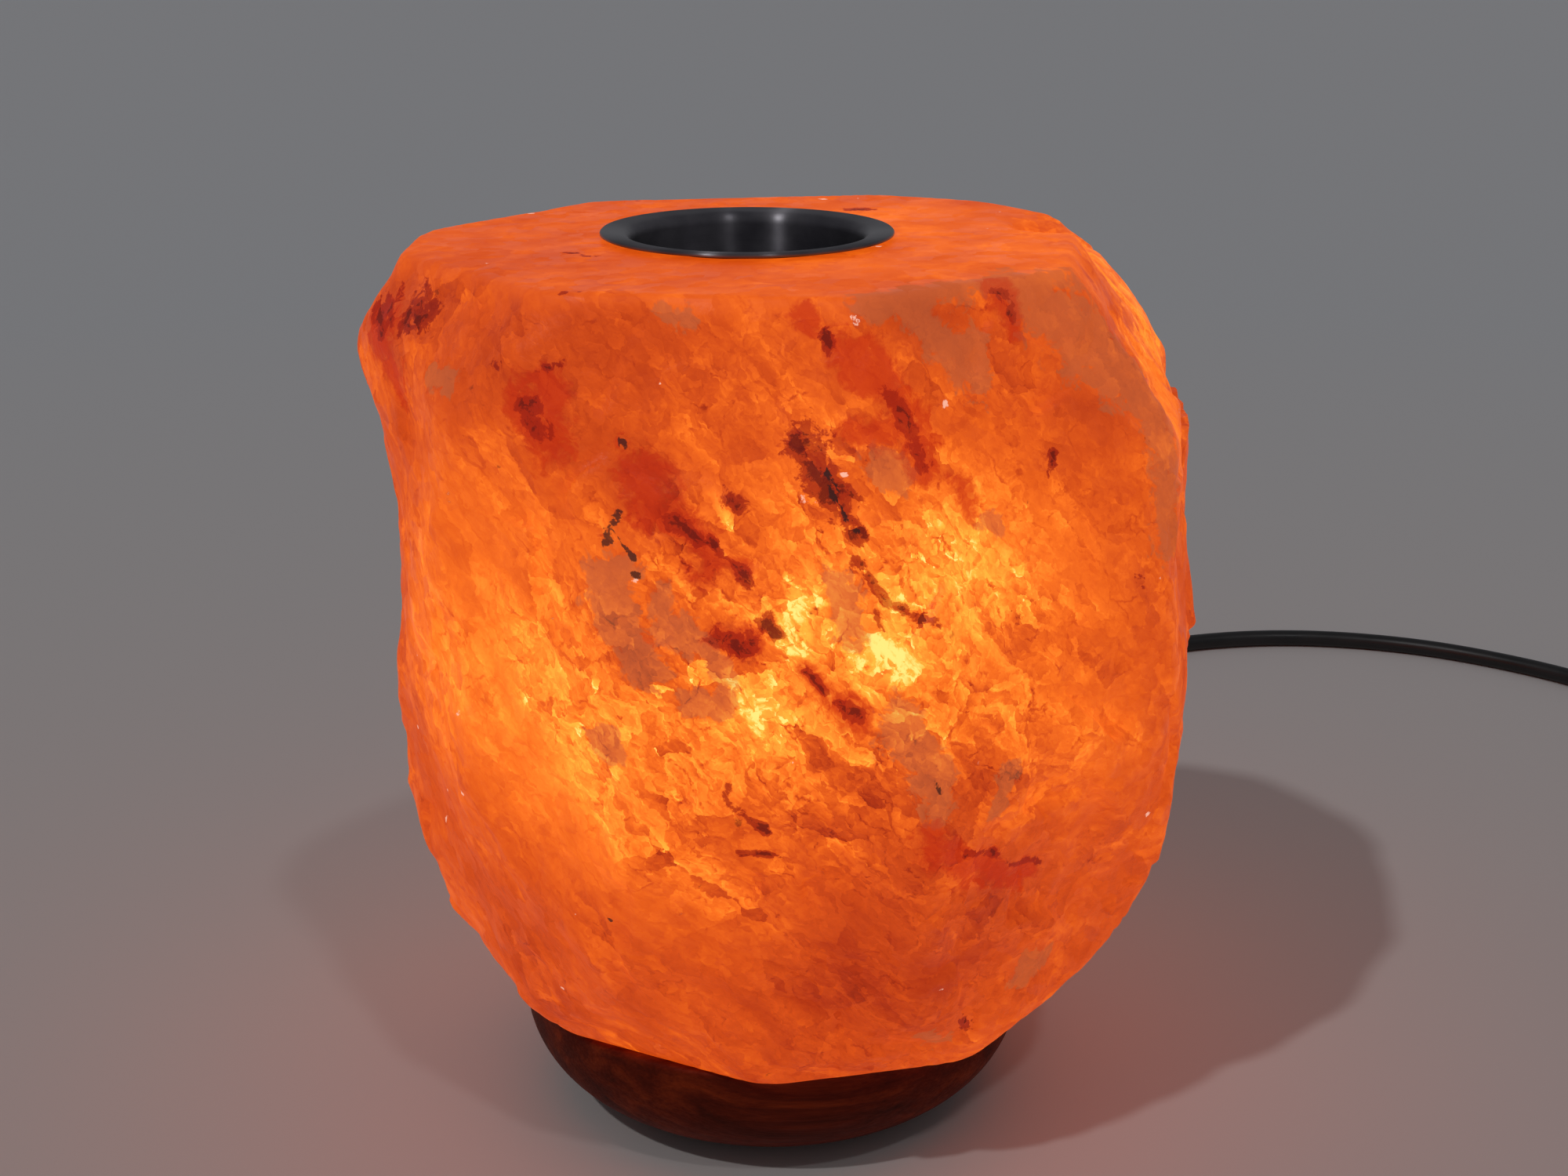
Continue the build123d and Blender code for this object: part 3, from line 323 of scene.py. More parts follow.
def cloud(p, size, seed):
    # value noise: random heights on a cubic lattice of that size, eased between its eight corners
    table = np.random.default_rng(seed).uniform(-1, 1, (latticeCells, latticeCells, latticeCells))
    q = p / size + latticeShift
    cell = np.floor(q).astype(int)
    f = q - cell
    f = f * f * (3 - 2 * f)
    total = 0.0
    for corner in np.ndindex(2, 2, 2):
        w = np.prod(np.where(np.array(corner) == 1, f, 1 - f), axis=-1)
        at = (cell + np.array(corner)) % latticeCells
        total = total + w * table[at[..., 0], at[..., 1], at[..., 2]]
    return total


def flakes(p, count, step, tilt, border, seed):
    # cleavage steps: each point takes the tilted plane of its nearest seed, mixed over a narrow border
    rng = np.random.default_rng(seed)
    pick = p[rng.choice(len(p), count, replace=False)]
    level = rng.uniform(-step, step, count)
    slope = rng.normal(0, tilt, (count, 3))
    out = np.empty(len(p))
    for part in np.array_split(np.arange(len(p)), 12):  # in parts, to keep the tables small
        away = ((p[part][:, None, :] - pick[None]) ** 2).sum(-1)
        w = np.exp(-(away - away.min(1, keepdims=True)) / border)
        h = level[None] + ((p[part][:, None, :] - pick[None]) * slope[None]).sum(-1)
        out[part] = (w * h).sum(1) / w.sum(1)
    return out


def raysAt(polar, turn):
    # the way out from the heart for each angle from straight up and each turn round the axis
    out, up = np.sin(polar)[:, None], np.cos(polar)[:, None]
    return np.stack([out * np.cos(turn), out * np.sin(turn), up + 0 * turn], -1)


def stoneRings(s):
    # rows from the dish pocket over the top edge, down the sides and under the foot, even along the outline
    turn = np.arange(s["around"]) / s["around"] * 2 * np.pi
    turn = turn - s["frontShare"] * np.sin(turn + np.pi / 2)  # closer together on the side in view
    first = math.atan2(s["pocketRadius"] + s["pocketLip"], s["topZ"] - heart[2])
    last = math.pi - math.atan2(s["footRadius"], heart[2] - s["footZ"])
    rough = np.linspace(first, last, s["roughRows"])
    mean = stoneRadius(raysAt(rough, turn)).mean(1)
    path = np.stack([mean * np.sin(rough), mean * np.cos(rough)], -1)
    run = np.concatenate([[0], np.cumsum(np.linalg.norm(np.diff(path, axis=0), axis=1))])
    polar = np.interp(np.linspace(0, run[-1], s["rows"]), run, rough)
    ray = raysAt(polar, turn)
    smooth = heart + ray * stoneRadius(ray)[..., None]
    return turn, ray, smooth


turn, stoneRay, stoneSmooth = stoneRings(stoneSet)
flat = stoneSmooth.reshape(-1, 3)
relief = sum(height * cloud(flat, size, seed) for size, height, seed in stoneSet["lumps"])
relief = relief + flakes(flat, *stoneSet["flakes"])
relief = relief.reshape(stoneSmooth.shape[:2])
deep, fade = stoneSet["sawnBand"]  # the sawn top stays nearly flat
sawn = np.clip((stoneSmooth[..., 2] - (stoneSet["topZ"] - deep)) / fade, 0, 1)
deep, fade = stoneSet["footBand"]
foot = np.clip((stoneSet["footZ"] + deep - stoneSmooth[..., 2]) / fade, 0, 1)
relief = relief * (1 - stoneSet["sawnCalm"] * sawn) * (1 - foot)
swells = [(onStone(px, py), reach, height) for px, py, reach, height in stoneSet["bulges"]]
for place, reach, height in swells + stoneSet["dents"]:
    relief = relief + height * np.exp(-(np.linalg.norm(stoneSmooth - np.array(place), axis=-1) / reach) ** 2)
stoneOuter = stoneSmooth + stoneRay * relief[..., None]
lowest, highest = stoneSet["footZ"] + stoneSet["footRise"], stoneSet["topZ"] + stoneSet["topRise"]
stoneOuter[..., 2] = np.clip(stoneOuter[..., 2], lowest, highest)


def ringAt(centre, radius, z):
    x, y = centre[0] + radius * np.cos(turn), centre[1] + radius * np.sin(turn)
    return np.stack([x, y, np.full(len(turn), z)], -1)


pocketAxis, cavityAxis = stoneSet["heart"][:2], stoneSet["cavityAxis"]
pocketWall, pocketFloor = stoneSet["pocketRadius"], stoneSet["pocketFloor"]
cavityWall, cavityTop = stoneSet["cavityRadius"], stoneSet["cavityTop"]
inside = [
    ringAt(pocketAxis, pocketWall - stoneSet["pocketRound"], pocketFloor),
    ringAt(pocketAxis, pocketWall, pocketFloor + stoneSet["pocketRound"]),
    ringAt(pocketAxis, pocketWall, stoneSet["topZ"] - stoneSet["pocketEdge"]),
]
under = [
    ringAt(cavityAxis, cavityWall + stoneSet["cavityBorder"], lowest),
    ringAt(cavityAxis, cavityWall, stoneSet["footZ"] + stoneSet["cavityEdge"]),
    ringAt(cavityAxis, cavityWall, cavityTop - stoneSet["cavityRound"]),
    ringAt(cavityAxis, cavityWall - stoneSet["cavityRound"], cavityTop),
]
rings = np.concatenate([np.array(inside), stoneOuter, np.array(under)])
stone = skin("saltStone", rings, (*pocketAxis, pocketFloor), (*cavityAxis, cavityTop))
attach(stone, "lamp")
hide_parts("salt_block")
print("stone shaped:", len(stone.data.polygons), "faces")

# What shows in the salt, each a line of points on the photograph with a half width in millimetres
markSet = {
    "rust": [
        ([(1086, 452), (1125, 497), (1151, 530), (1183, 559), (1188, 591)], 4.6),
        ([(1105, 545), (1150, 540)], 3.6), ([(1026, 405), (1028, 410)], 2.6),
        ([(1264, 371), (1287, 418)], 3.0), ([(663, 520), (699, 570)], 4.2), ([(689, 486), (710, 528)], 3.4),
        ([(820, 601), (841, 648)], 5.4), ([(869, 664), (888, 695)], 4.4),
        ([(841, 645), (878, 671), (904, 729)], 4.0), ([(925, 812), (961, 823)], 3.0),
        ([(1060, 891), (1102, 922)], 3.0), ([(1034, 857), (1045, 870)], 2.4),
        ([(1225, 606), (1254, 640)], 2.4), ([(930, 723), (950, 727)], 2.0), ([(500, 395), (504, 400)], 4.0),
        ([(485, 410), (495, 470)], 4.0), ([(1190, 1086), (1310, 1120)], 4.0),
    ],
    "stain": [
        ([(1021, 559), (1042, 578), (1052, 611), (1073, 632)], 4.6), ([(1073, 638), (1099, 685)], 1.6),
        ([(1125, 505), (1165, 545), (1186, 580)], 2.6), ([(667, 520), (690, 556)], 2.4),
        ([(866, 660), (884, 690)], 2.2), ([(925, 812), (955, 826)], 2.6), ([(980, 790), (992, 806)], 2.0),
        ([(926, 634), (940, 644)], 1.8), ([(1092, 718), (1144, 770), (1202, 797)], 1.4),
        ([(1062, 893), (1100, 920)], 1.4), ([(930, 1008), (948, 1036), (975, 1064)], 1.3),
        ([(1268, 374), (1284, 410)], 1.6), ([(1342, 578), (1346, 592)], 1.6),
        ([(496, 393), (500, 398)], 4.4), ([(533, 396), (540, 400)], 4.6), ([(632, 463), (634, 466)], 1.4),
        ([(676, 467), (712, 470)], 1.0), ([(1448, 730), (1458, 742)], 1.5),
        ([(1296, 796), (1306, 800)], 1.4), ([(1232, 1082), (1290, 1092), (1336, 1112)], 1.1),
        ([(1224, 1304), (1232, 1314)], 1.4), ([(716, 372), (736, 372)], 1.2),
        ([(732, 322), (756, 326)], 1.2), ([(1055, 430), (1060, 450)], 1.2),
        ([(905, 690), (930, 720), (960, 744)], 1.4), ([(1120, 780), (1128, 800)], 1.2),
        ([(940, 1092), (1000, 1098)], 1.0), ([(1034, 855), (1046, 872)], 1.4),
        ([(485, 408), (490, 430)], 1.4),
    ],
    "soot": [
        ([(796, 644), (782, 668), (768, 694)], 0.9), ([(784, 676), (802, 706)], 0.6),
        ([(803, 732), (812, 752)], 0.9), ([(797, 558), (812, 574)], 0.8), ([(1056, 596), (1068, 630)], 1.2),
        ([(1030, 562), (1046, 582)], 0.7), ([(780, 1165), (786, 1169)], 0.9),
        ([(1194, 1008), (1206, 1026)], 0.8), ([(1066, 640), (1080, 660), (1096, 684)], 0.6),
        ([(536, 396), (542, 402)], 0.9), ([(1020, 566), (1036, 580)], 0.7),
        ([(1104, 740), (1142, 764)], 0.5), ([(1196, 990), (1212, 1000)], 0.5),
    ],
    "clear": [
        ([(772, 735), (794, 800), (822, 850)], 4.6), ([(840, 770), (868, 820)], 3.0),
        ([(880, 800), (925, 870), (918, 905), (870, 890)], 2.4), ([(772, 944), (778, 960)], 3.2),
        ([(1150, 925), (1176, 960), (1206, 1030)], 4.6), ([(1292, 980), (1268, 1034)], 2.0),
        ([(1300, 372), (1360, 410), (1410, 470)], 7.0), ([(1415, 480), (1470, 520), (1492, 590)], 6.2),
        ([(1176, 412), (1236, 462)], 4.9), ([(1110, 384), (1200, 368), (1310, 356)], 3.9),
        ([(1240, 470), (1250, 480)], 3.5), ([(1485, 610), (1500, 690)], 4.4),
        ([(1125, 588), (1150, 600)], 3.5), ([(1072, 748), (1090, 800)], 3.2),
        ([(556, 486), (572, 492)], 2.6), ([(845, 400), (872, 406)], 2.3),
        ([(1180, 1322), (1196, 1330)], 2.6), ([(1300, 1236), (1330, 1220)], 3.5),
        ([(1268, 654), (1282, 664)], 1.8), ([(1188, 414), (1192, 424)], 2.1),
    ],
    "shard": [
        ([(1002, 752), (1050, 774)], 2.0), ([(1006, 826), (1028, 830)], 1.4),
        ([(1118, 812), (1135, 842), (1150, 868)], 2.2), ([(1130, 772), (1162, 756)], 1.3),
        ([(1212, 946), (1222, 972)], 1.1), ([(930, 862), (946, 900), (962, 934)], 1.8),
        ([(962, 888), (984, 958)], 1.2), ([(1076, 826), (1090, 846)], 1.3),
    ],
    "lit": [
        ([(1392, 330), (1446, 410), (1482, 480), (1500, 540)], 15.0),
    ],
    "dull": [
        ([(1140, 1130), (1080, 1230), (1070, 1270)], 13.0),
        ([(1290, 1120), (1230, 1200), (1190, 1290)], 13.0), ([(620, 470), (760, 470), (900, 460)], 10.0),
        ([(720, 560), (800, 610)], 8.0), ([(1180, 420), (1420, 600)], 12.0),
        ([(620, 1130), (690, 1210), (720, 1290)], 10.0), ([(830, 600), (872, 690)], 7.0),
    ],
}
noMark = -2.0  # a mark's value far outside it
glowSet = {
    "level": 0.40,
    "spots": [  # place on the photograph, reach in millimetres, amount
        (590, 870, 28, 0.17), (540, 780, 14, 0.06), (760, 900, 22, 0.20), (640, 740, 20, 0.08),
        (720, 650, 14, 0.08), (1110, 815, 15, 0.22), (1040, 762, 6, 0.26), (1140, 850, 6, 0.20),
        (1008, 826, 5, 0.12), (950, 890, 14, 0.13), (1010, 980, 20, 0.14), (1280, 760, 26, 0.26),
        (1200, 680, 16, 0.10), (1000, 690, 20, 0.14), (1214, 962, 4, 0.20), (1420, 940, 18, 0.10),
        (760, 1040, 18, 0.14), (560, 620, 14, 0.10), (1000, 500, 16, 0.08), (1120, 560, 16, 0.05),
        (1300, 320, 20, 0.08), (1150, 275, 22, 0.10), (1250, 1200, 22, -0.06), (1000, 1310, 22, -0.05),
        (800, 470, 20, -0.04), (640, 330, 20, -0.06), (1450, 600, 14, 0.08), (950, 700, 9, 0.08),
        (1250, 860, 10, 0.05), (850, 1120, 12, 0.07), (1080, 1250, 12, -0.06), (1150, 1290, 11, -0.05),
        (1440, 420, 8, 0.05), (1100, 340, 12, 0.10), (1280, 290, 9, 0.06), (640, 320, 10, 0.05),
        (850, 420, 15, 0.06), (1300, 450, 13, 0.08), (1440, 420, 9, 0.06), (530, 800, 9, 0.06),
        (700, 1270, 9, -0.05), (1000, 480, 9, -0.05), (1250, 1200, 12, 0.04), (1000, 1300, 12, -0.03),
    ],
    "crystals": [  # where crystals show one by one
        (1070, 830, 30, 1.0), (760, 880, 16, 0.5), (960, 1030, 22, 0.6), (1260, 900, 18, 0.5),
        (860, 860, 14, 0.5), (1000, 640, 18, 0.4),
    ],
    "pastRidge": np.array([4.0, 9.0, 0.0]),  # the bright band starts behind the right edge
    "waves": ((9.0, 1.5, 31), (3.5, 0.9, 41)),  # what wavers the marks' borders: size, reach, seed
    # the bulb's own glow: where it is, its share and most, distance and fall, level and spread
    "bulb": (-2.5, 0.0, 95.0), "bulbShare": 0.04, "bulbMost": 1.2,
    "bulbNear": (62.0, 32.0), "bulbLevel": (98.0, 52.0),
    # what is scattered over the sides out of sight: marks, then glowing places about one level
    "hiddenSeed": 4, "hiddenBack": -4.0, "hiddenLean": (0.66, 0.15, -0.73), "hiddenJitter": 0.45,
    "hiddenLength": (0.3, 1.0), "hidden": 14, "hiddenLevel": (96, 34), "hiddenReach": (8, 24),
    "hiddenGlow": (0.08, 0.24), "hiddenCrisp": (0.2, 0.8),
    "hiddenKinds": (  # kind, count, least and most half width, length
        ("rust", 16, 2.4, 5.2, 14), ("stain", 24, 1.0, 2.4, 10), ("soot", 6, 0.9, 1.4, 5),
        ("clear", 9, 2.4, 5.0, 14), ("dull", 8, 8.0, 13.0, 26), ("shard", 12, 1.0, 2.0, 6),
    ),
}


def lineField(p, points, half):
    # 1 on the line, 0 at its half width, falling on outside
    points = np.array(points)
    best = np.full(len(p), 1e9)
    for a, b in zip(points[:-1], points[1:]):
        ab = b - a
        t = np.clip(((p - a) @ ab) / max(ab @ ab, 1e-9), 0, 1)
        best = np.minimum(best, np.linalg.norm(p - a - t[:, None] * ab, axis=1))
    return 1 - best / half


def wavy(p, size, reach, seed):
    # the points pushed about by three value noises, so that what is laid on them gets a wavy border
    return p + reach * np.stack([cloud(p, size, seed + i) for i in range(3)], -1)


def stoneFields(p):
    # marks seen on the photograph, then marks of the same kinds scattered over the sides that it doesn't show
    fields = {kind: np.full(len(p), noMark) for kind in markSet}
    for size, reach, seed in glowSet["waves"]:
        p = wavy(p, size, reach, seed)
    for kind, marks in markSet.items():
        for pixels, half in marks:
            line = [onStone(*q) + (glowSet["pastRidge"] if kind == "lit" else 0) for q in pixels]
            fields[kind] = np.maximum(fields[kind], lineField(p, line, half))
    rng = np.random.default_rng(glowSet["hiddenSeed"])
    eye = np.array(cameraSet["place"]) / mm
    behind = p[((p - heart) @ (eye - heart)) / np.linalg.norm(eye - heart) < glowSet["hiddenBack"]]
    lean = np.array(glowSet["hiddenLean"])
    for kind, count, least, most, length in glowSet["hiddenKinds"]:
        for at in behind[rng.choice(len(behind), count, replace=False)]:
            way = lean + rng.normal(0, glowSet["hiddenJitter"], 3)
            ends = [at, at + way * rng.uniform(*glowSet["hiddenLength"]) * length]
            fields[kind] = np.maximum(fields[kind], lineField(p, ends, rng.uniform(least, most)))
    wall, thick = glowSet["bulbNear"]
    near = np.exp(-((np.linalg.norm(p - np.array(glowSet["bulb"]), axis=1) - wall) / thick))
    middle, tall = glowSet["bulbLevel"]
    level = np.exp(-((p[:, 2] - middle) / tall) ** 2)
    fields["glow"] = glowSet["level"] + glowSet["bulbShare"] * np.clip(near, 0, glowSet["bulbMost"]) * level
    fields["crisp"] = np.zeros(len(p))
    for kind, places in (("glow", glowSet["spots"]), ("crisp", glowSet["crystals"])):
        for px, py, reach, amount in places:
            fields[kind] += amount * np.exp(-(np.linalg.norm(p - onStone(px, py), axis=1) / reach) ** 2)
    middle, tall = glowSet["hiddenLevel"]
    low = behind[np.abs(behind[:, 2] - middle) < tall]
    for at in low[rng.choice(len(low), glowSet["hidden"], replace=False)]:
        spread = np.exp(-(np.linalg.norm(p - at, axis=1) / rng.uniform(*glowSet["hiddenReach"])) ** 2)
        fields["glow"] += rng.uniform(*glowSet["hiddenGlow"]) * spread
        fields["crisp"] += rng.uniform(*glowSet["hiddenCrisp"]) * spread
    return fields


fields = stoneFields(flat)
fields["sawn"] = sawn.ravel()
start = len(inside) * stoneSet["around"]
for kind, values in fields.items():
    layer = stone.data.attributes.new(kind, "FLOAT", "POINT")
    whole = np.full(len(stone.data.vertices), noMark if kind in markSet else 0, np.float32)
    whole[start:start + len(values)] = values
    layer.data.foreach_set("value", whole)
print("stone marked:", sum(len(m) for m in markSet.values()), "marks from the photograph")

# Rock salt: sizes in millimetres, shares of the glow, and tones
saltSet = {
    "lean": (0.35, 0.80, 0.0),  # the beds lean as the streaks on the photograph do
    "beds": (28.0, 21.0, 13.0), "fineBeds": (6.6, 5.0, 3.2),
    "warpSize": 7.0, "warpReach": 6.0, "raggedSize": 3.4, "grainSize": 11.0, "speckSize": 7.0,
    "glowOffset": 0.14, "bedShare": 0.30, "fineShare": 0.18, "fineSawn": -0.13, "sawnShare": 0.05,
    "crispShare": 0.42, "crispSawn": -0.22,
    # more crystals show in some beds than in others
    "patches": {"From Min": 0.40, "From Max": 0.58, "To Min": 0.50, "To Max": 1.1},
    # layers of crystals: size, change of tone across one (a painted shade, as if each flat crystal face
    # caught the light at its own slant), change from one to the next
    "crystals": ((12.0, 0.44, 0.13), (4.5, 0.36, 0.11), (1.8, 0.28, 0.09), (0.8, 0.14, 0.03)),
    "crystalMean": -0.180,  # the mean of what the crystals add
    "crystalShape": (1.4, 1.0, 0.7), "crystalRise": 0.06,
    "crackWidth": 0.028, "crackOpen": (0.52, 0.64), "crackDepth": -0.40,
    # shares of the fine beds, the ragged noise and the crystals
    "ruffles": (1.2, 1.6, 0.4), "ruffleStart": -1.6,
    "borders": (  # mask, mark, ruffle of its border, border from and to, what it takes from the glow
        ("dull", "dull", 0.9, -0.20, 0.60, -0.06), ("lit", "lit", 1.2, -0.50, 0.90, 0.26),
        ("shard", "shard", 1.4, 0.0, 0.40, 0.16), ("clear", "clear", 1.5, -0.15, 0.20, -0.09),
        ("rust", "rust", 1.4, -0.30, 0.50, -0.14), ("stain", "stain", 1.6, 0.05, 0.32, -0.22),
        ("core", "stain", 1.8, 0.62, 0.92, -0.06), ("soot", "soot", 1.6, 0.18, 0.45, 0.0),
    ),
    # the glint specks are painted highlights, the fleck specks real dark specks
    "specks": (("paintedGlint", 1, 0.84, 0.07), ("fleck", 2, 0.86, 0.11)),  # mask, colour channel, chance, reach
    "speckUneven": (0.7, -0.35), "speckStart": 0.04,
    "tints": (  # mask, strength, glow colour, body colour
        ("clear", 0.40, "#a25424", "#d2906c"), ("rust", 0.50, "#c42800", "#8d2e18"),
        ("stain", 0.50, "#8c1402", "#7a2815"), ("core", 0.66, "#4a0803", "#3b1511"),
        ("fleck", 0.55, "#5a0e02", "#542115"), ("soot", 0.85, "#240c08", "#342828"),
        # the glint tint paints a whitish highlight into both the glow and the base colour
        ("paintedGlint", 0.70, "#f0b8a0", "#f3d9c6"),
    ),
    "shine": [(0.0, "#6a0c00"), (0.20, "#a42c04"), (0.40, "#c8480c"), (0.60, "#ee6814"), (0.74, "#ff8824"),
              (0.90, "#ffb038"), (1.0, "#ffe47c")],
    # body: the base colour follows the same heat as the glow, so besides the stains it is painted lighter and
    # yellower where the glow is stronger
    "body": [(0.0, "#7a2815"), (0.5, "#b0411b"), (1.0, "#f3a044")],
    "fineRise": 0.5, "bedRise": 0.6, "sawnEven": -0.95, "bumpStrength": 0.7, "bumpDistance": 1.2,
    "gloss": {"From Min": 0.0, "From Max": 1.0, "To Min": 0.34, "To Max": 0.70},
}


def rockSalt(s):
    # Rock salt, hewn and lit from inside: orange to yellow glow, clear crystals, iron stains, glossy steps
    material, tree, shader = newMaterial("rockSaltGlowing")
    spot = put(tree, "TexCoord").outputs["Object"]
    beds = put(tree, "Mapping", {"Vector": spot, "Rotation": s["lean"], "Scale": [v * mm for v in s["beds"]]},
               vector_type="TEXTURE").outputs[0]
    bedNoise = put(tree, "TexNoise", {"Vector": beds, "Scale": 1.0, "Detail": 3.0, "Roughness": 0.5,
                                      "Distortion": 0.8}).outputs[0]
    fineBeds = put(tree, "Mapping", {"Vector": spot, "Rotation": s["lean"],
                                     "Scale": [v * mm for v in s["fineBeds"]]},
                   vector_type="TEXTURE").outputs[0]
    fineNoise = put(tree, "TexNoise", {"Vector": fineBeds, "Scale": 1.0, "Detail": 5.0, "Roughness": 0.62,
                                       "Distortion": 0.5}).outputs[0]
    warp = put(tree, "TexNoise", {"Vector": spot, "Scale": 1 / (s["warpSize"] * mm), "Detail": 4.0,
                                  "Roughness": 0.62}).outputs["Color"]
    bent = put(tree, "VectorMath", {0: warp, 1: [s["warpReach"] * mm] * 3, 2: spot},
               operation="MULTIPLY_ADD").outputs[0]

    glow = put(tree, "Attribute", attribute_name="glow").outputs["Fac"]
    sawn = put(tree, "Attribute", attribute_name="sawn").outputs["Fac"]
    heat = put(tree, "Math", {0: bedNoise, 1: s["bedShare"], 2: glow}, operation="MULTIPLY_ADD").outputs[0]
    veined = put(tree, "Math", {0: sawn, 1: s["fineSawn"], 2: s["fineShare"]},
                 operation="MULTIPLY_ADD").outputs[0]
    fineMean = put(tree, "Math", {0: fineNoise, 1: 0.5}, operation="SUBTRACT").outputs[0]
    heat = put(tree, "Math", {0: fineMean, 1: veined, 2: heat}, operation="MULTIPLY_ADD").outputs[0]
    heat = put(tree, "Math", {0: heat, 1: s["glowOffset"]}, operation="SUBTRACT").outputs[0]
    heat = put(tree, "Math", {0: sawn, 1: s["sawnShare"], 2: heat}, operation="MULTIPLY_ADD").outputs[0]
    crisp = put(tree, "Attribute", attribute_name="crisp").outputs["Fac"]
    crisp = put(tree, "Math", {0: sawn, 1: s["crispSawn"], 2: crisp}, operation="MULTIPLY_ADD").outputs[0]
    crisp = put(tree, "Math", {0: crisp, 1: s["crispShare"]}, operation="ADD").outputs[0]
    patchy = put(tree, "MapRange", {"Value": bedNoise, **s["patches"]}).outputs[0]
    crisp = put(tree, "Math", {0: crisp, 1: patchy}, operation="MULTIPLY", use_clamp=True).outputs[0]
    facets = s["crystalMean"]
    rise = 0.0
    cells = []
    for size, tilt, tone in s["crystals"]:
        # flat across the beds, each with its own tone and slope, so that their borders are crisp; the slope
        # paints a shade across each crystal, as if its flat face caught the light at its own slant, and also
        # raises it in the bump
        shape = [size * mm * share for share in s["crystalShape"]]
        bedded = put(tree, "Mapping", {"Vector": bent, "Rotation": s["lean"], "Scale": shape},
                     vector_type="TEXTURE").outputs[0]
        crystal = put(tree, "TexVoronoi", {"Vector": bedded, "Scale": 1.0})
        across = put(tree, "VectorMath", {0: bedded, 1: crystal.outputs["Position"]},
                     operation="SUBTRACT").outputs[0]
        way = put(tree, "VectorMath", {0: crystal.outputs["Color"], 1: (0.5, 0.5, 0.5)},
                  operation="SUBTRACT").outputs[0]
        slope = put(tree, "VectorMath", {0: across, 1: way}, operation="DOT_PRODUCT").outputs["Value"]
        cell = put(tree, "SeparateColor", {0: crystal.outputs["Color"]}).outputs[0]
        facets = put(tree, "Math", {0: slope, 1: tilt, 2: facets}, operation="MULTIPLY_ADD").outputs[0]
        facets = put(tree, "Math", {0: cell, 1: tone, 2: facets}, operation="MULTIPLY_ADD").outputs[0]
        rise = put(tree, "Math", {0: slope, 1: s["crystalRise"] * size, 2: rise},
                   operation="MULTIPLY_ADD").outputs[0]
        cells.append(cell)
    heat = put(tree, "Math", {0: facets, 1: crisp, 2: heat}, operation="MULTIPLY_ADD").outputs[0]

    # cracks: thin lines where two grains meet, open in places
    grain = put(tree, "TexVoronoi", {"Vector": bent, "Scale": 1 / (s["grainSize"] * mm)},
                feature="DISTANCE_TO_EDGE").outputs["Distance"]
    crack = put(tree, "MapRange", {"Value": grain, "From Min": 0.0, "From Max": s["crackWidth"],
                                   "To Min": 1.0, "To Max": 0.0}).outputs[0]
    ajar = put(tree, "MapRange", {"Value": fineNoise, "From Min": s["crackOpen"][0],
                                  "From Max": s["crackOpen"][1]}).outputs[0]
    crack = put(tree, "Math", {0: crack, 1: ajar}, operation="MULTIPLY").outputs[0]
    crack = put(tree, "Math", {0: crack, 1: crisp}, operation="MULTIPLY").outputs[0]
    heat = put(tree, "Math", {0: crack, 1: s["crackDepth"], 2: heat}, operation="MULTIPLY_ADD").outputs[0]

    # marks: each border is ruffled by the fine beds, a ragged noise and the crystals
    ragged = put(tree, "TexNoise", {"Vector": spot, "Scale": 1 / (s["raggedSize"] * mm), "Detail": 5.0,
                                    "Roughness": 0.68, "Distortion": 0.8}).outputs[0]
    ruffle = s["ruffleStart"]
    for source, share in zip((fineNoise, ragged, cells[1]), s["ruffles"]):
        ruffle = put(tree, "Math", {0: source, 1: share, 2: ruffle}, operation="MULTIPLY_ADD").outputs[0]
    masks = {}
    for name, kind, border, low, high, change in s["borders"]:
        mark = put(tree, "Attribute", attribute_name=kind).outputs["Fac"]
        mark = put(tree, "Math", {0: ruffle, 1: border, 2: mark}, operation="MULTIPLY_ADD").outputs[0]
        masks[name] = put(tree, "MapRange", {"Value": mark, "From Min": low, "From Max": high},
                          interpolation_type="SMOOTHSTEP").outputs[0]
        heat = put(tree, "Math", {0: masks[name], 1: change, 2: heat}, operation="MULTIPLY_ADD").outputs[0]
    shine = put(tree, "ValToRGB", {0: heat}, stops=s["shine"]).outputs[0]
    # the base colour follows the heat too: painted glow in the surface colour, lighter and yellower where the
    # glow is stronger
    body = put(tree, "ValToRGB", {0: heat}, stops=s["body"]).outputs[0]

    # painted glints: small white spots in the glow and the base colour, a painted highlight standing in for
    # light off small cleavage faces; and dark specks
    speck = put(tree, "TexVoronoi", {"Vector": bent, "Scale": 1 / (s["speckSize"] * mm)})
    chance = put(tree, "SeparateColor", {0: speck.outputs["Color"]})
    share, offset = s["speckUneven"]
    uneven = put(tree, "Math", {0: ragged, 1: share, 2: offset}, operation="MULTIPLY_ADD").outputs[0]
    apart = put(tree, "Math", {0: speck.outputs["Distance"], 1: uneven}, operation="ADD").outputs[0]
    for name, channel, least, reach in s["specks"]:
        chosen = put(tree, "Math", {0: chance.outputs[channel], 1: least},
                     operation="GREATER_THAN").outputs[0]
        small = put(tree, "MapRange", {"Value": apart, "From Min": s["speckStart"], "From Max": reach,
                                       "To Min": 1.0, "To Max": 0.0}).outputs[0]
        masks[name] = put(tree, "Math", {0: chosen, 1: small}, operation="MULTIPLY").outputs[0]
    for name, most, glowHex, bodyHex in s["tints"]:
        part = put(tree, "Math", {0: masks[name], 1: most}, operation="MULTIPLY").outputs[0]
        shine = put(tree, "Mix", {0: part, 6: shine, 7: linear(glowHex)}, data_type="RGBA").outputs[2]
        body = put(tree, "Mix", {0: part, 6: body, 7: linear(bodyHex)}, data_type="RGBA").outputs[2]

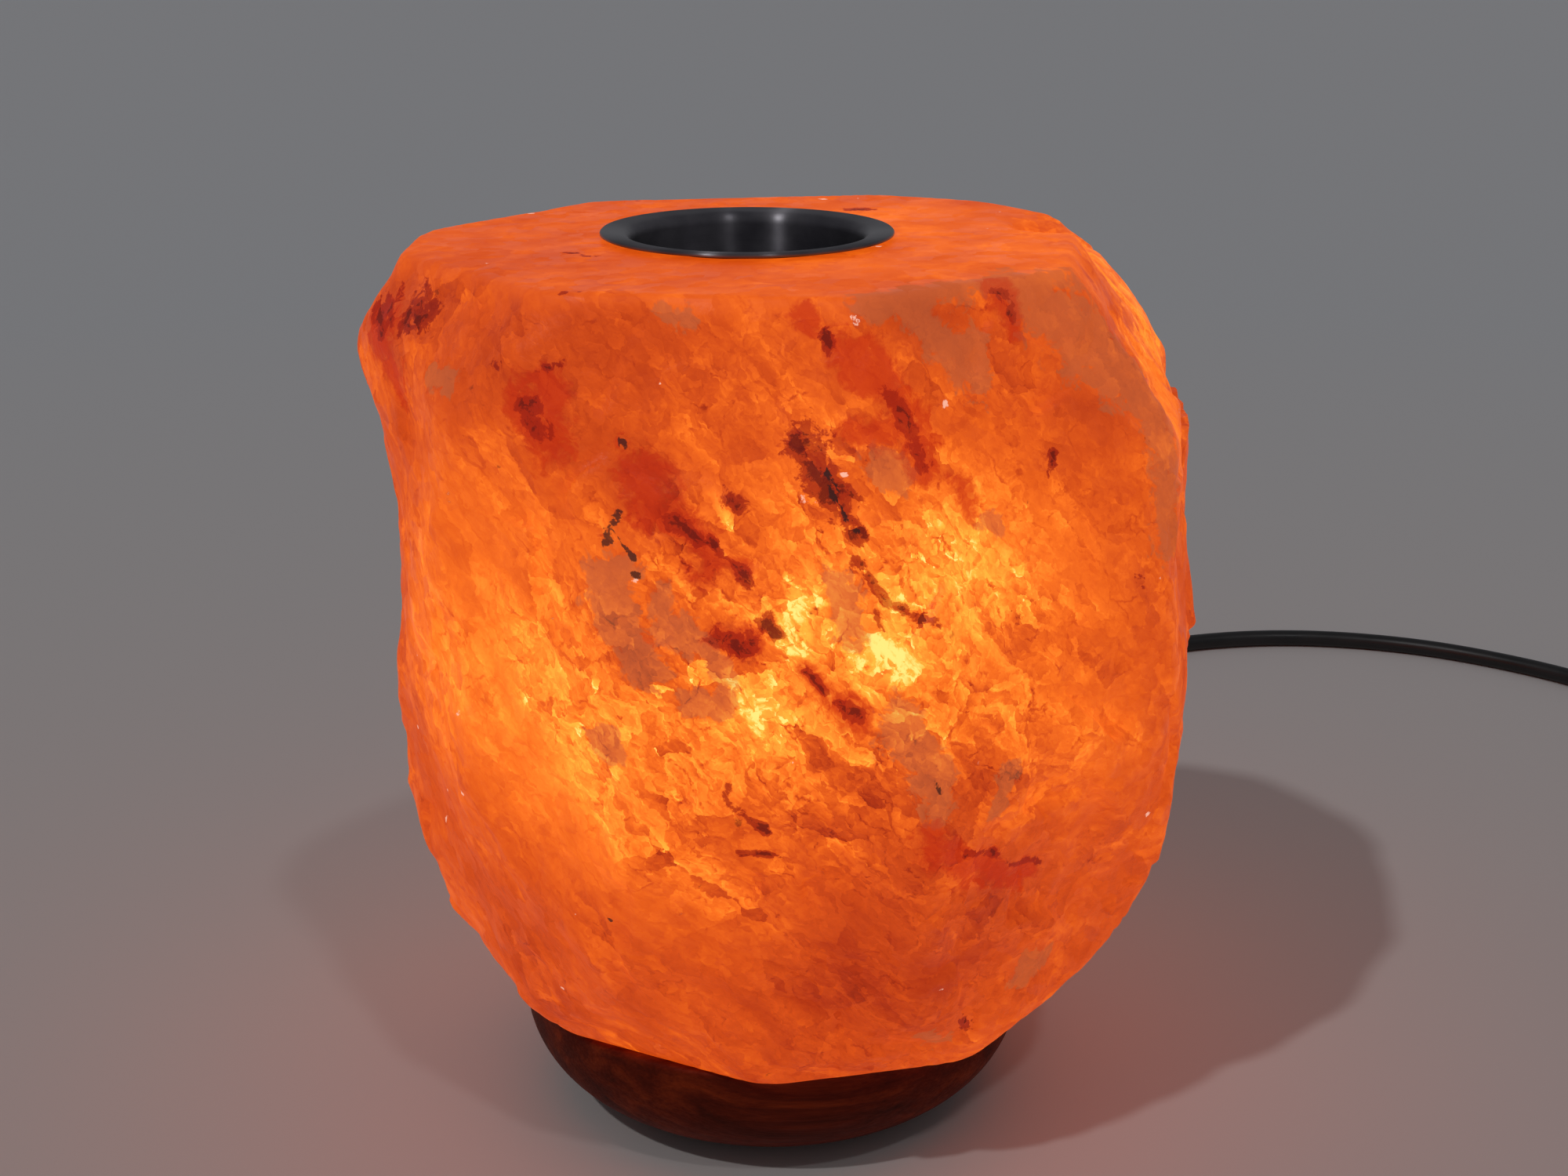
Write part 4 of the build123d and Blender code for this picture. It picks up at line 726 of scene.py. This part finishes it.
    height = put(tree, "Math", {0: rise, 1: crisp}, operation="MULTIPLY").outputs[0]
    for source, share in ((fineNoise, s["fineRise"]), (bedNoise, s["bedRise"])):
        height = put(tree, "Math", {0: source, 1: share, 2: height}, operation="MULTIPLY_ADD").outputs[0]
    even = put(tree, "Math", {0: sawn, 1: s["sawnEven"], 2: 1.0}, operation="MULTIPLY_ADD").outputs[0]
    height = put(tree, "Math", {0: height, 1: even}, operation="MULTIPLY").outputs[0]
    bump = put(tree, "Bump", {"Strength": s["bumpStrength"], "Distance": s["bumpDistance"] * mm,
                              "Height": height}).outputs[0]
    gloss = put(tree, "MapRange", {"Value": cells[1], **s["gloss"]}).outputs[0]
    tree.links.new(body, shader.inputs["Base Color"])
    tree.links.new(shine, shader.inputs["Emission Color"])
    tree.links.new(gloss, shader.inputs["Roughness"])
    tree.links.new(bump, shader.inputs["Normal"])
    shader.inputs["Emission Strength"].default_value = 1.0
    shader.inputs["IOR"].default_value = 1.54
    shader.inputs["Specular IOR Level"].default_value = 0.35
    return material


stone.data.materials.append(rockSalt(saltSet))
print("salt finished")

# Wooden base
woodSet = {
    "lie": (0.0, 0.06, 0.12),  # how the plank's grain is turned
    # millimetres along and across; pores are drawn coarser than real ones, so that they show
    "rings": (90.0, 6.0, 6.0), "pores": (11.0, 0.6, 0.6),
    "poreShare": 0.35, "stops": [(0.42, "#3a1006"), (0.66, "#601e0a"), (0.88, "#873412")],
    "gloss": {"From Min": 0.3, "From Max": 0.7, "To Min": 0.66, "To Max": 0.48},
}


def stainedHardwood(s):
    # Turned hardwood, stained dark red brown and lacquered: long grain, fine pores, a low satin shine
    material, tree, shader = newMaterial("stainedHardwood")
    spot = put(tree, "TexCoord").outputs["Object"]
    long = put(tree, "Mapping", {"Vector": spot, "Rotation": s["lie"], "Scale": [v * mm for v in s["rings"]]},
               vector_type="TEXTURE").outputs[0]
    rings = put(tree, "TexNoise", {"Vector": long, "Scale": 1.0, "Detail": 5.0, "Roughness": 0.6,
                                   "Distortion": 0.7}).outputs[0]
    pores = put(tree, "Mapping", {"Vector": spot, "Rotation": s["lie"],
                                  "Scale": [v * mm for v in s["pores"]]},
                vector_type="TEXTURE").outputs[0]
    pore = put(tree, "TexNoise", {"Vector": pores, "Scale": 1.0, "Detail": 3.0, "Roughness": 0.7}).outputs[0]
    tone = put(tree, "Math", {0: pore, 1: s["poreShare"], 2: rings}, operation="MULTIPLY_ADD").outputs[0]
    colour = put(tree, "ValToRGB", {0: tone}, stops=s["stops"]).outputs[0]
    gloss = put(tree, "MapRange", {"Value": pore, **s["gloss"]}).outputs[0]
    bump = put(tree, "Bump", {"Strength": 0.25, "Distance": 0.3 * mm, "Height": tone}).outputs[0]
    tree.links.new(colour, shader.inputs["Base Color"])
    tree.links.new(gloss, shader.inputs["Roughness"])
    tree.links.new(bump, shader.inputs["Normal"])
    shader.inputs["Specular IOR Level"].default_value = 0.1
    return material


dress(stainedHardwood(woodSet), "wood_base")

# Metals: light and dark tone, roughness, spacing of the tool marks in millimetres, the nodes
# the marks are drawn coarser than real ones, so that they show
metalSet = {
    "zincPlatedSteel": ("#b9bcbd", "#8f9293", 0.34, 0.4, (
        "base_screws", "terminal_screws", "clip_screws", "switch_screws", "rocker_pin", "clip_rivets",
        "bulb_contact", "bulb_leads")),
    "springSteel": ("#8d9094", "#6a6d70", 0.30, 0.3, ("spring_clips",)),
    "rolledBrass": ("#d0aa62", "#a07d3e", 0.28, 0.35, (
        "thread_shell", "centre_contact", "bulb_cap", "switch_terminals", "contact_leaf", "plug_pins")),
}


def toolMarked(name, light, dark, rough, spacing):
    # metal with fine tool marks: a streaked noise shifts its tone and roughness and raises it a little
    material, tree, shader = newMaterial(name)
    spot = put(tree, "TexCoord").outputs["Object"]
    long = 12 * spacing * mm  # each mark is a dozen times as long as it is wide
    lay = put(tree, "Mapping", {"Vector": spot, "Scale": (long, long, spacing * mm)},
              vector_type="TEXTURE").outputs[0]
    marks = put(tree, "TexNoise", {"Vector": lay, "Scale": 1.0, "Detail": 3.0, "Roughness": 0.6}).outputs[0]
    colour = put(tree, "ValToRGB", {0: marks}, stops=[(0.35, dark), (0.65, light)]).outputs[0]
    gloss = put(tree, "MapRange", {"Value": marks, "From Min": 0.3, "From Max": 0.7, "To Min": rough * 1.25,
                                   "To Max": rough * 0.8}).outputs[0]
    bump = put(tree, "Bump", {"Strength": 0.08, "Distance": 0.1 * mm, "Height": marks}).outputs[0]
    tree.links.new(colour, shader.inputs["Base Color"])
    tree.links.new(gloss, shader.inputs["Roughness"])
    tree.links.new(bump, shader.inputs["Normal"])
    shader.inputs["Metallic"].default_value = 1.0
    return material


# Oil dish: sizes in millimetres, and its finish
dishSet = {
    "axis": (-7.5, 0.0), "rim": 30.0, "mouth": 23.8, "top": 191.6, "depth": 19.0, "wall": 0.8, "fall": 0.5,
    "floorRound": 4.0, "lip": 2.2, "edge": 0.3, "heartRadius": 3.0,
    "floorGap": 0.5, "wallGaps": (1.0, 0.6), "underGaps": (0.8, 0.12, 0.6),  # left between the runs
    "around": 160, "roundSteps": 10, "floorSteps": 6, "wallSteps": 8,
    # rings are drawn coarser than real ones, so that they show
    "spacing": 0.3, "smear": 11.0, "light": "#858287", "dark": "#66646a",
    "gloss": {"From Min": 0.3, "From Max": 0.7, "To Min": 0.34, "To Max": 0.39},
}


def dishProfile(s):
    # radius and height along the sheet: floor, round, wall, rolled lip, rim, its edge, then back underneath
    floorZ, mouth, rim = s["top"] - s["depth"], s["mouth"], s["rim"]
    quarter = np.linspace(0, np.pi / 2, s["roundSteps"])
    lipEnd = mouth + s["lip"]
    lipZ = s["top"] - s["fall"] * (rim - lipEnd) / (rim - mouth)
    turnIn = mouth - s["floorRound"]
    inner = s["floorRound"]
    outer = inner + s["wall"]
    radii = np.linspace(s["heartRadius"], turnIn - s["floorGap"], s["floorSteps"])
    wallZ = np.linspace(floorZ + inner + s["wallGaps"][0], lipZ - s["lip"] - s["wallGaps"][1], s["wallSteps"])
    back, drop, root = s["underGaps"]
    runs = [
        np.stack([radii, np.full(len(radii), floorZ)], -1),
        np.stack([turnIn + inner * np.sin(quarter), floorZ + inner - inner * np.cos(quarter)], -1),
        np.stack([np.full(len(wallZ), mouth), wallZ], -1),
        np.stack([lipEnd - s["lip"] * np.cos(quarter), lipZ - s["lip"] + s["lip"] * np.sin(quarter)], -1),
        np.array([[rim - s["edge"], s["top"]], [rim, s["top"] - s["edge"]],
                  [rim, s["top"] - s["wall"] + s["edge"] / 2], [rim - s["edge"], s["top"] - s["wall"]],
                  [mouth + s["wall"] + back, lipZ - s["wall"] - drop],
                  [mouth + s["wall"], lipZ - s["wall"] - root]]),
        np.stack([turnIn + outer * np.cos(quarter), floorZ + inner - outer * np.sin(quarter)], -1),
        np.array([[turnIn - s["floorGap"], floorZ - s["wall"]], [s["heartRadius"], floorZ - s["wall"]]]),
    ]
    return np.concatenate(runs)


def spun(s, profile):
    # the profile carried once round the axis
    around = np.arange(s["around"]) / s["around"] * 2 * np.pi
    radius, z = profile[:, :1], profile[:, 1:]
    x, y = s["axis"][0] + radius * np.cos(around), s["axis"][1] + radius * np.sin(around)
    return np.stack([x, y, z + 0 * around], -1)


def spunSteel(s):
    # Dark spun steel: fine rings round the dish's axis spread a lamp's reflection into an upright streak
    material, tree, shader = newMaterial("spunDarkSteel")
    spot = put(tree, "TexCoord").outputs["Object"]
    axis = (s["axis"][0] * mm, s["axis"][1] * mm, 0.0)
    apart = put(tree, "VectorMath", {0: spot, 1: axis}, operation="SUBTRACT").outputs[0]
    parts = put(tree, "SeparateXYZ", {0: apart})
    level = put(tree, "CombineXYZ", {0: parts.outputs[0], 1: parts.outputs[1]}).outputs[0]
    radius = put(tree, "VectorMath", {0: level}, operation="LENGTH").outputs["Value"]
    ring = put(tree, "CombineXYZ", {0: radius, 1: parts.outputs[2]}).outputs[0]
    rings = put(tree, "TexNoise", {"Vector": ring, "Scale": 1 / (s["spacing"] * mm),
                                   "Detail": 2.0}).outputs[0]
    smear = put(tree, "TexNoise", {"Vector": spot, "Scale": 1 / (s["smear"] * mm), "Detail": 3.0}).outputs[0]
    colour = put(tree, "ValToRGB", {0: smear}, stops=[(0.35, s["dark"]), (0.65, s["light"])]).outputs[0]
    gloss = put(tree, "MapRange", {"Value": smear, **s["gloss"]}).outputs[0]
    bump = put(tree, "Bump", {"Strength": 0.3, "Distance": 0.1 * mm, "Height": rings}).outputs[0]
    # the way that the tool went round
    around = put(tree, "VectorMath", {0: (0.0, 0.0, 1.0), 1: level}, operation="CROSS_PRODUCT").outputs[0]
    tree.links.new(colour, shader.inputs["Base Color"])
    tree.links.new(gloss, shader.inputs["Roughness"])
    tree.links.new(bump, shader.inputs["Normal"])
    tree.links.new(around, shader.inputs["Tangent"])
    shader.inputs["Metallic"].default_value = 1.0
    shader.inputs["Anisotropic"].default_value = 1.0
    shader.inputs["Anisotropic Rotation"].default_value = 0.25  # a quarter turn: highlights run across
    return material


dishFloor = dishSet["top"] - dishSet["depth"]
dish = skin("oilDish", spun(dishSet, dishProfile(dishSet)), (*dishSet["axis"], dishFloor),
            (*dishSet["axis"], dishFloor - dishSet["wall"]))
dish.data.materials.append(spunSteel(dishSet))
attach(dish, "dish")
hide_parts("aroma_dish")
for name, (light, dark, rough, spacing, wearers) in metalSet.items():
    dress(toolMarked(name, light, dark, rough, spacing), *wearers)

# Plastics, rubber and ceramic: tone, darker tone, roughness, grain and its height in millimetres, the nodes
# grain is drawn coarser than real, so that it shows
mouldedSet = {
    "softPvcLead": ("#1a1819", "#121112", 0.38, 0.7, 0.04, ("inner_cord", "switch_reliefs", "plug_relief")),
    "blackMouldedPlastic": ("#1d1c1d", "#141314", 0.42, 0.45, 0.06, (
        "holder_cap", "holder_body", "switch_lower_shell", "switch_upper_shell", "switch_rocker",
        "plug_body", "pin_sleeves")),
    "blackRubber": ("#242323", "#181717", 0.70, 0.5, 0.08, ("rubber_feet",)),
    "naturalNylon": ("#d8d3c4", "#c4bead", 0.45, 0.6, 0.05, ("screw_plugs", "cord_clip", "cord_ties")),
    "blueWireSleeve": ("#2a4f9c", "#20407f", 0.35, 0.6, 0.03, ("lead_wires",)),
    "glazedPorcelain": ("#ece7da", "#dcd5c4", 0.22, 2.2, 0.05, ("holder_insert",)),
    "blackVitrite": ("#17161a", "#0e0d11", 0.15, 1.2, 0.04, ("bulb_insulator",)),
}


def moulded(name, light, dark, rough, grain, rise):
    # moulded or extruded surface: a fine even grain shifts its tone and roughness and raises it a little
    material, tree, shader = newMaterial(name)
    spot = put(tree, "TexCoord").outputs["Object"]
    speck = put(tree, "TexNoise", {"Vector": spot, "Scale": 1 / (grain * mm), "Detail": 2.0,
                                   "Roughness": 0.5}).outputs[0]
    wide = 14 * grain * mm  # slow changes over many grains
    drift = put(tree, "TexNoise", {"Vector": spot, "Scale": 1 / wide, "Detail": 2.0}).outputs[0]
    tone = put(tree, "Math", {0: speck, 1: 0.5, 2: drift}, operation="MULTIPLY_ADD").outputs[0]
    colour = put(tree, "ValToRGB", {0: tone}, stops=[(0.6, dark), (0.9, light)]).outputs[0]
    gloss = put(tree, "MapRange", {"Value": drift, "From Min": 0.3, "From Max": 0.7, "To Min": rough * 0.85,
                                   "To Max": rough * 1.15}).outputs[0]
    bump = put(tree, "Bump", {"Strength": 0.4, "Distance": rise * mm, "Height": speck}).outputs[0]
    tree.links.new(colour, shader.inputs["Base Color"])
    tree.links.new(gloss, shader.inputs["Roughness"])
    tree.links.new(bump, shader.inputs["Normal"])
    return material


for name, (light, dark, rough, grain, rise, wearers) in mouldedSet.items():
    made = moulded(name, light, dark, rough, grain, rise)
    dress(made, *wearers)
    if name == "softPvcLead":
        runLead.data.materials.append(made)
        spareLead.data.materials.append(made)

# Bulb: waves in the glass and uneven places of the wire in millimetres, and how bright the wire is
glassSet = {"waves": 6.0, "wireUneven": 1.5, "wireGlow": 6.0}


def blownGlass(name, tint, rough):
    # thin clear glass, with the faint waves of blowing in its surface
    material, tree, shader = newMaterial(name)
    spot = put(tree, "TexCoord").outputs["Object"]
    waves = put(tree, "TexNoise", {"Vector": spot, "Scale": 1 / (glassSet["waves"] * mm),
                                   "Detail": 1.0}).outputs[0]
    colour = put(tree, "ValToRGB", {0: waves}, stops=[(0.3, tint), (0.7, "#ffffff")]).outputs[0]
    bump = put(tree, "Bump", {"Strength": 0.1, "Distance": 0.2 * mm, "Height": waves}).outputs[0]
    tree.links.new(colour, shader.inputs["Base Color"])
    tree.links.new(bump, shader.inputs["Normal"])
    shader.inputs["Roughness"].default_value = rough
    shader.inputs["Transmission Weight"].default_value = 1.0
    return material


def litTungsten():
    # drawn wire at white heat, a little uneven along its length
    material, tree, shader = newMaterial("litTungsten")
    spot = put(tree, "TexCoord").outputs["Object"]
    uneven = put(tree, "TexNoise", {"Vector": spot, "Scale": 1 / (glassSet["wireUneven"] * mm),
                                    "Detail": 1.0}).outputs[0]
    colour = put(tree, "ValToRGB", {0: uneven}, stops=[(0.3, "#ffb454"), (0.7, "#fff0c8")]).outputs[0]
    tree.links.new(colour, shader.inputs["Emission Color"])
    tree.links.new(colour, shader.inputs["Base Color"])
    shader.inputs["Emission Strength"].default_value = glassSet["wireGlow"]
    shader.inputs["Metallic"].default_value = 1.0
    shader.inputs["Roughness"].default_value = 0.5
    return material


dress(blownGlass("blownClearGlass", "#f1f4f2", 0.02), "bulb_glass")
dress(blownGlass("pressedStemGlass", "#e3ece6", 0.06), "bulb_stem")
dress(litTungsten(), "bulb_filament")
print("nodes finished")

# Floor and light
floorSet = {
    # near: painted warm glow of the lamp on the floor round it; rest: the paper's own even tone
    "near": "#ebe4e2", "rest": "#e2e3e7", "far": "#757578", "worldLight": (0.105, 0.105, 0.108, 1.0),
    "radii": (200.0, 600.0, 2000.0, 12000.0), "around": 96, "z": -0.1, "grain": 1.2, "grainShare": 0.12,
}
radii = np.array(floorSet["radii"])[:, None]
sweep = np.arange(floorSet["around"]) / floorSet["around"] * 2 * np.pi
floorRings = np.stack([radii * np.cos(sweep), radii * np.sin(sweep), floorSet["z"] + 0 * radii * sweep], -1)
floor = skin("paleFloor", floorRings, (0.0, 0.0, floorSet["z"]))
# Matte paper: a pale sheet with a faint fibre grain; round the lamp its colour is painted warmer, a painted
# pool of the lamp's glow, fading to an even, slightly cool tone further away
floorMaterial, tree, shader = newMaterial("mattePaper")
spot = put(tree, "TexCoord").outputs["Object"]
grain = put(tree, "TexNoise", {"Vector": spot, "Scale": 1 / (floorSet["grain"] * mm),
                               "Detail": 2.0}).outputs[0]
far = put(tree, "VectorMath", {0: spot}, operation="LENGTH").outputs["Value"]
shade = put(tree, "Math", {0: grain, 1: floorSet["grainShare"], 2: far}, operation="MULTIPLY_ADD").outputs[0]
tone = put(tree, "ValToRGB", {0: shade}, stops=[(0.2, floorSet["near"]), (1.0, floorSet["rest"])]).outputs[0]
tree.links.new(tone, shader.inputs["Base Color"])
shader.inputs["Roughness"].default_value = 0.75
floor.data.materials.append(floorMaterial)

world = bpy.data.worlds.new("studio")
bpy.context.scene.world = world
world.use_nodes = True
tree = world.node_tree
rays = put(tree, "LightPath").outputs
seen = rays["Is Camera Ray"]
for kind in ("Is Glossy Ray", "Is Transmission Ray"):
    seen = put(tree, "Math", {0: seen, 1: rays[kind]}, operation="ADD", use_clamp=True).outputs[0]
# what is seen past the floor has the far floor's tone
sky = put(tree, "Mix", {0: seen, 6: floorSet["worldLight"], 7: linear(floorSet["far"])},
          data_type="RGBA").outputs[2]
tree.links.new(sky, tree.nodes["Background"].inputs["Color"])
lampSet = {  # where each lamp stands as seen from the object, the width it shows in degrees, its strength
    "key": ((-0.403, -0.485, 0.777), 2.0, 0.37),
    "fill": ((0.241, -0.520, 0.819), 3.0, 0.12),
}
for name, (way, width, strength) in lampSet.items():
    lampData = bpy.data.lights.new(name, "SUN")
    lampData.angle = math.radians(width)
    lampData.energy = strength
    lamp = bpy.data.objects.new(name, lampData)
    lamp.location = way
    lamp.rotation_euler = (math.acos(way[2]), 0.0, math.atan2(-way[1], -way[0]) - math.pi / 2)
    bpy.context.scene.collection.objects.link(lamp)
bpy.context.scene.view_settings.view_transform = "Standard"
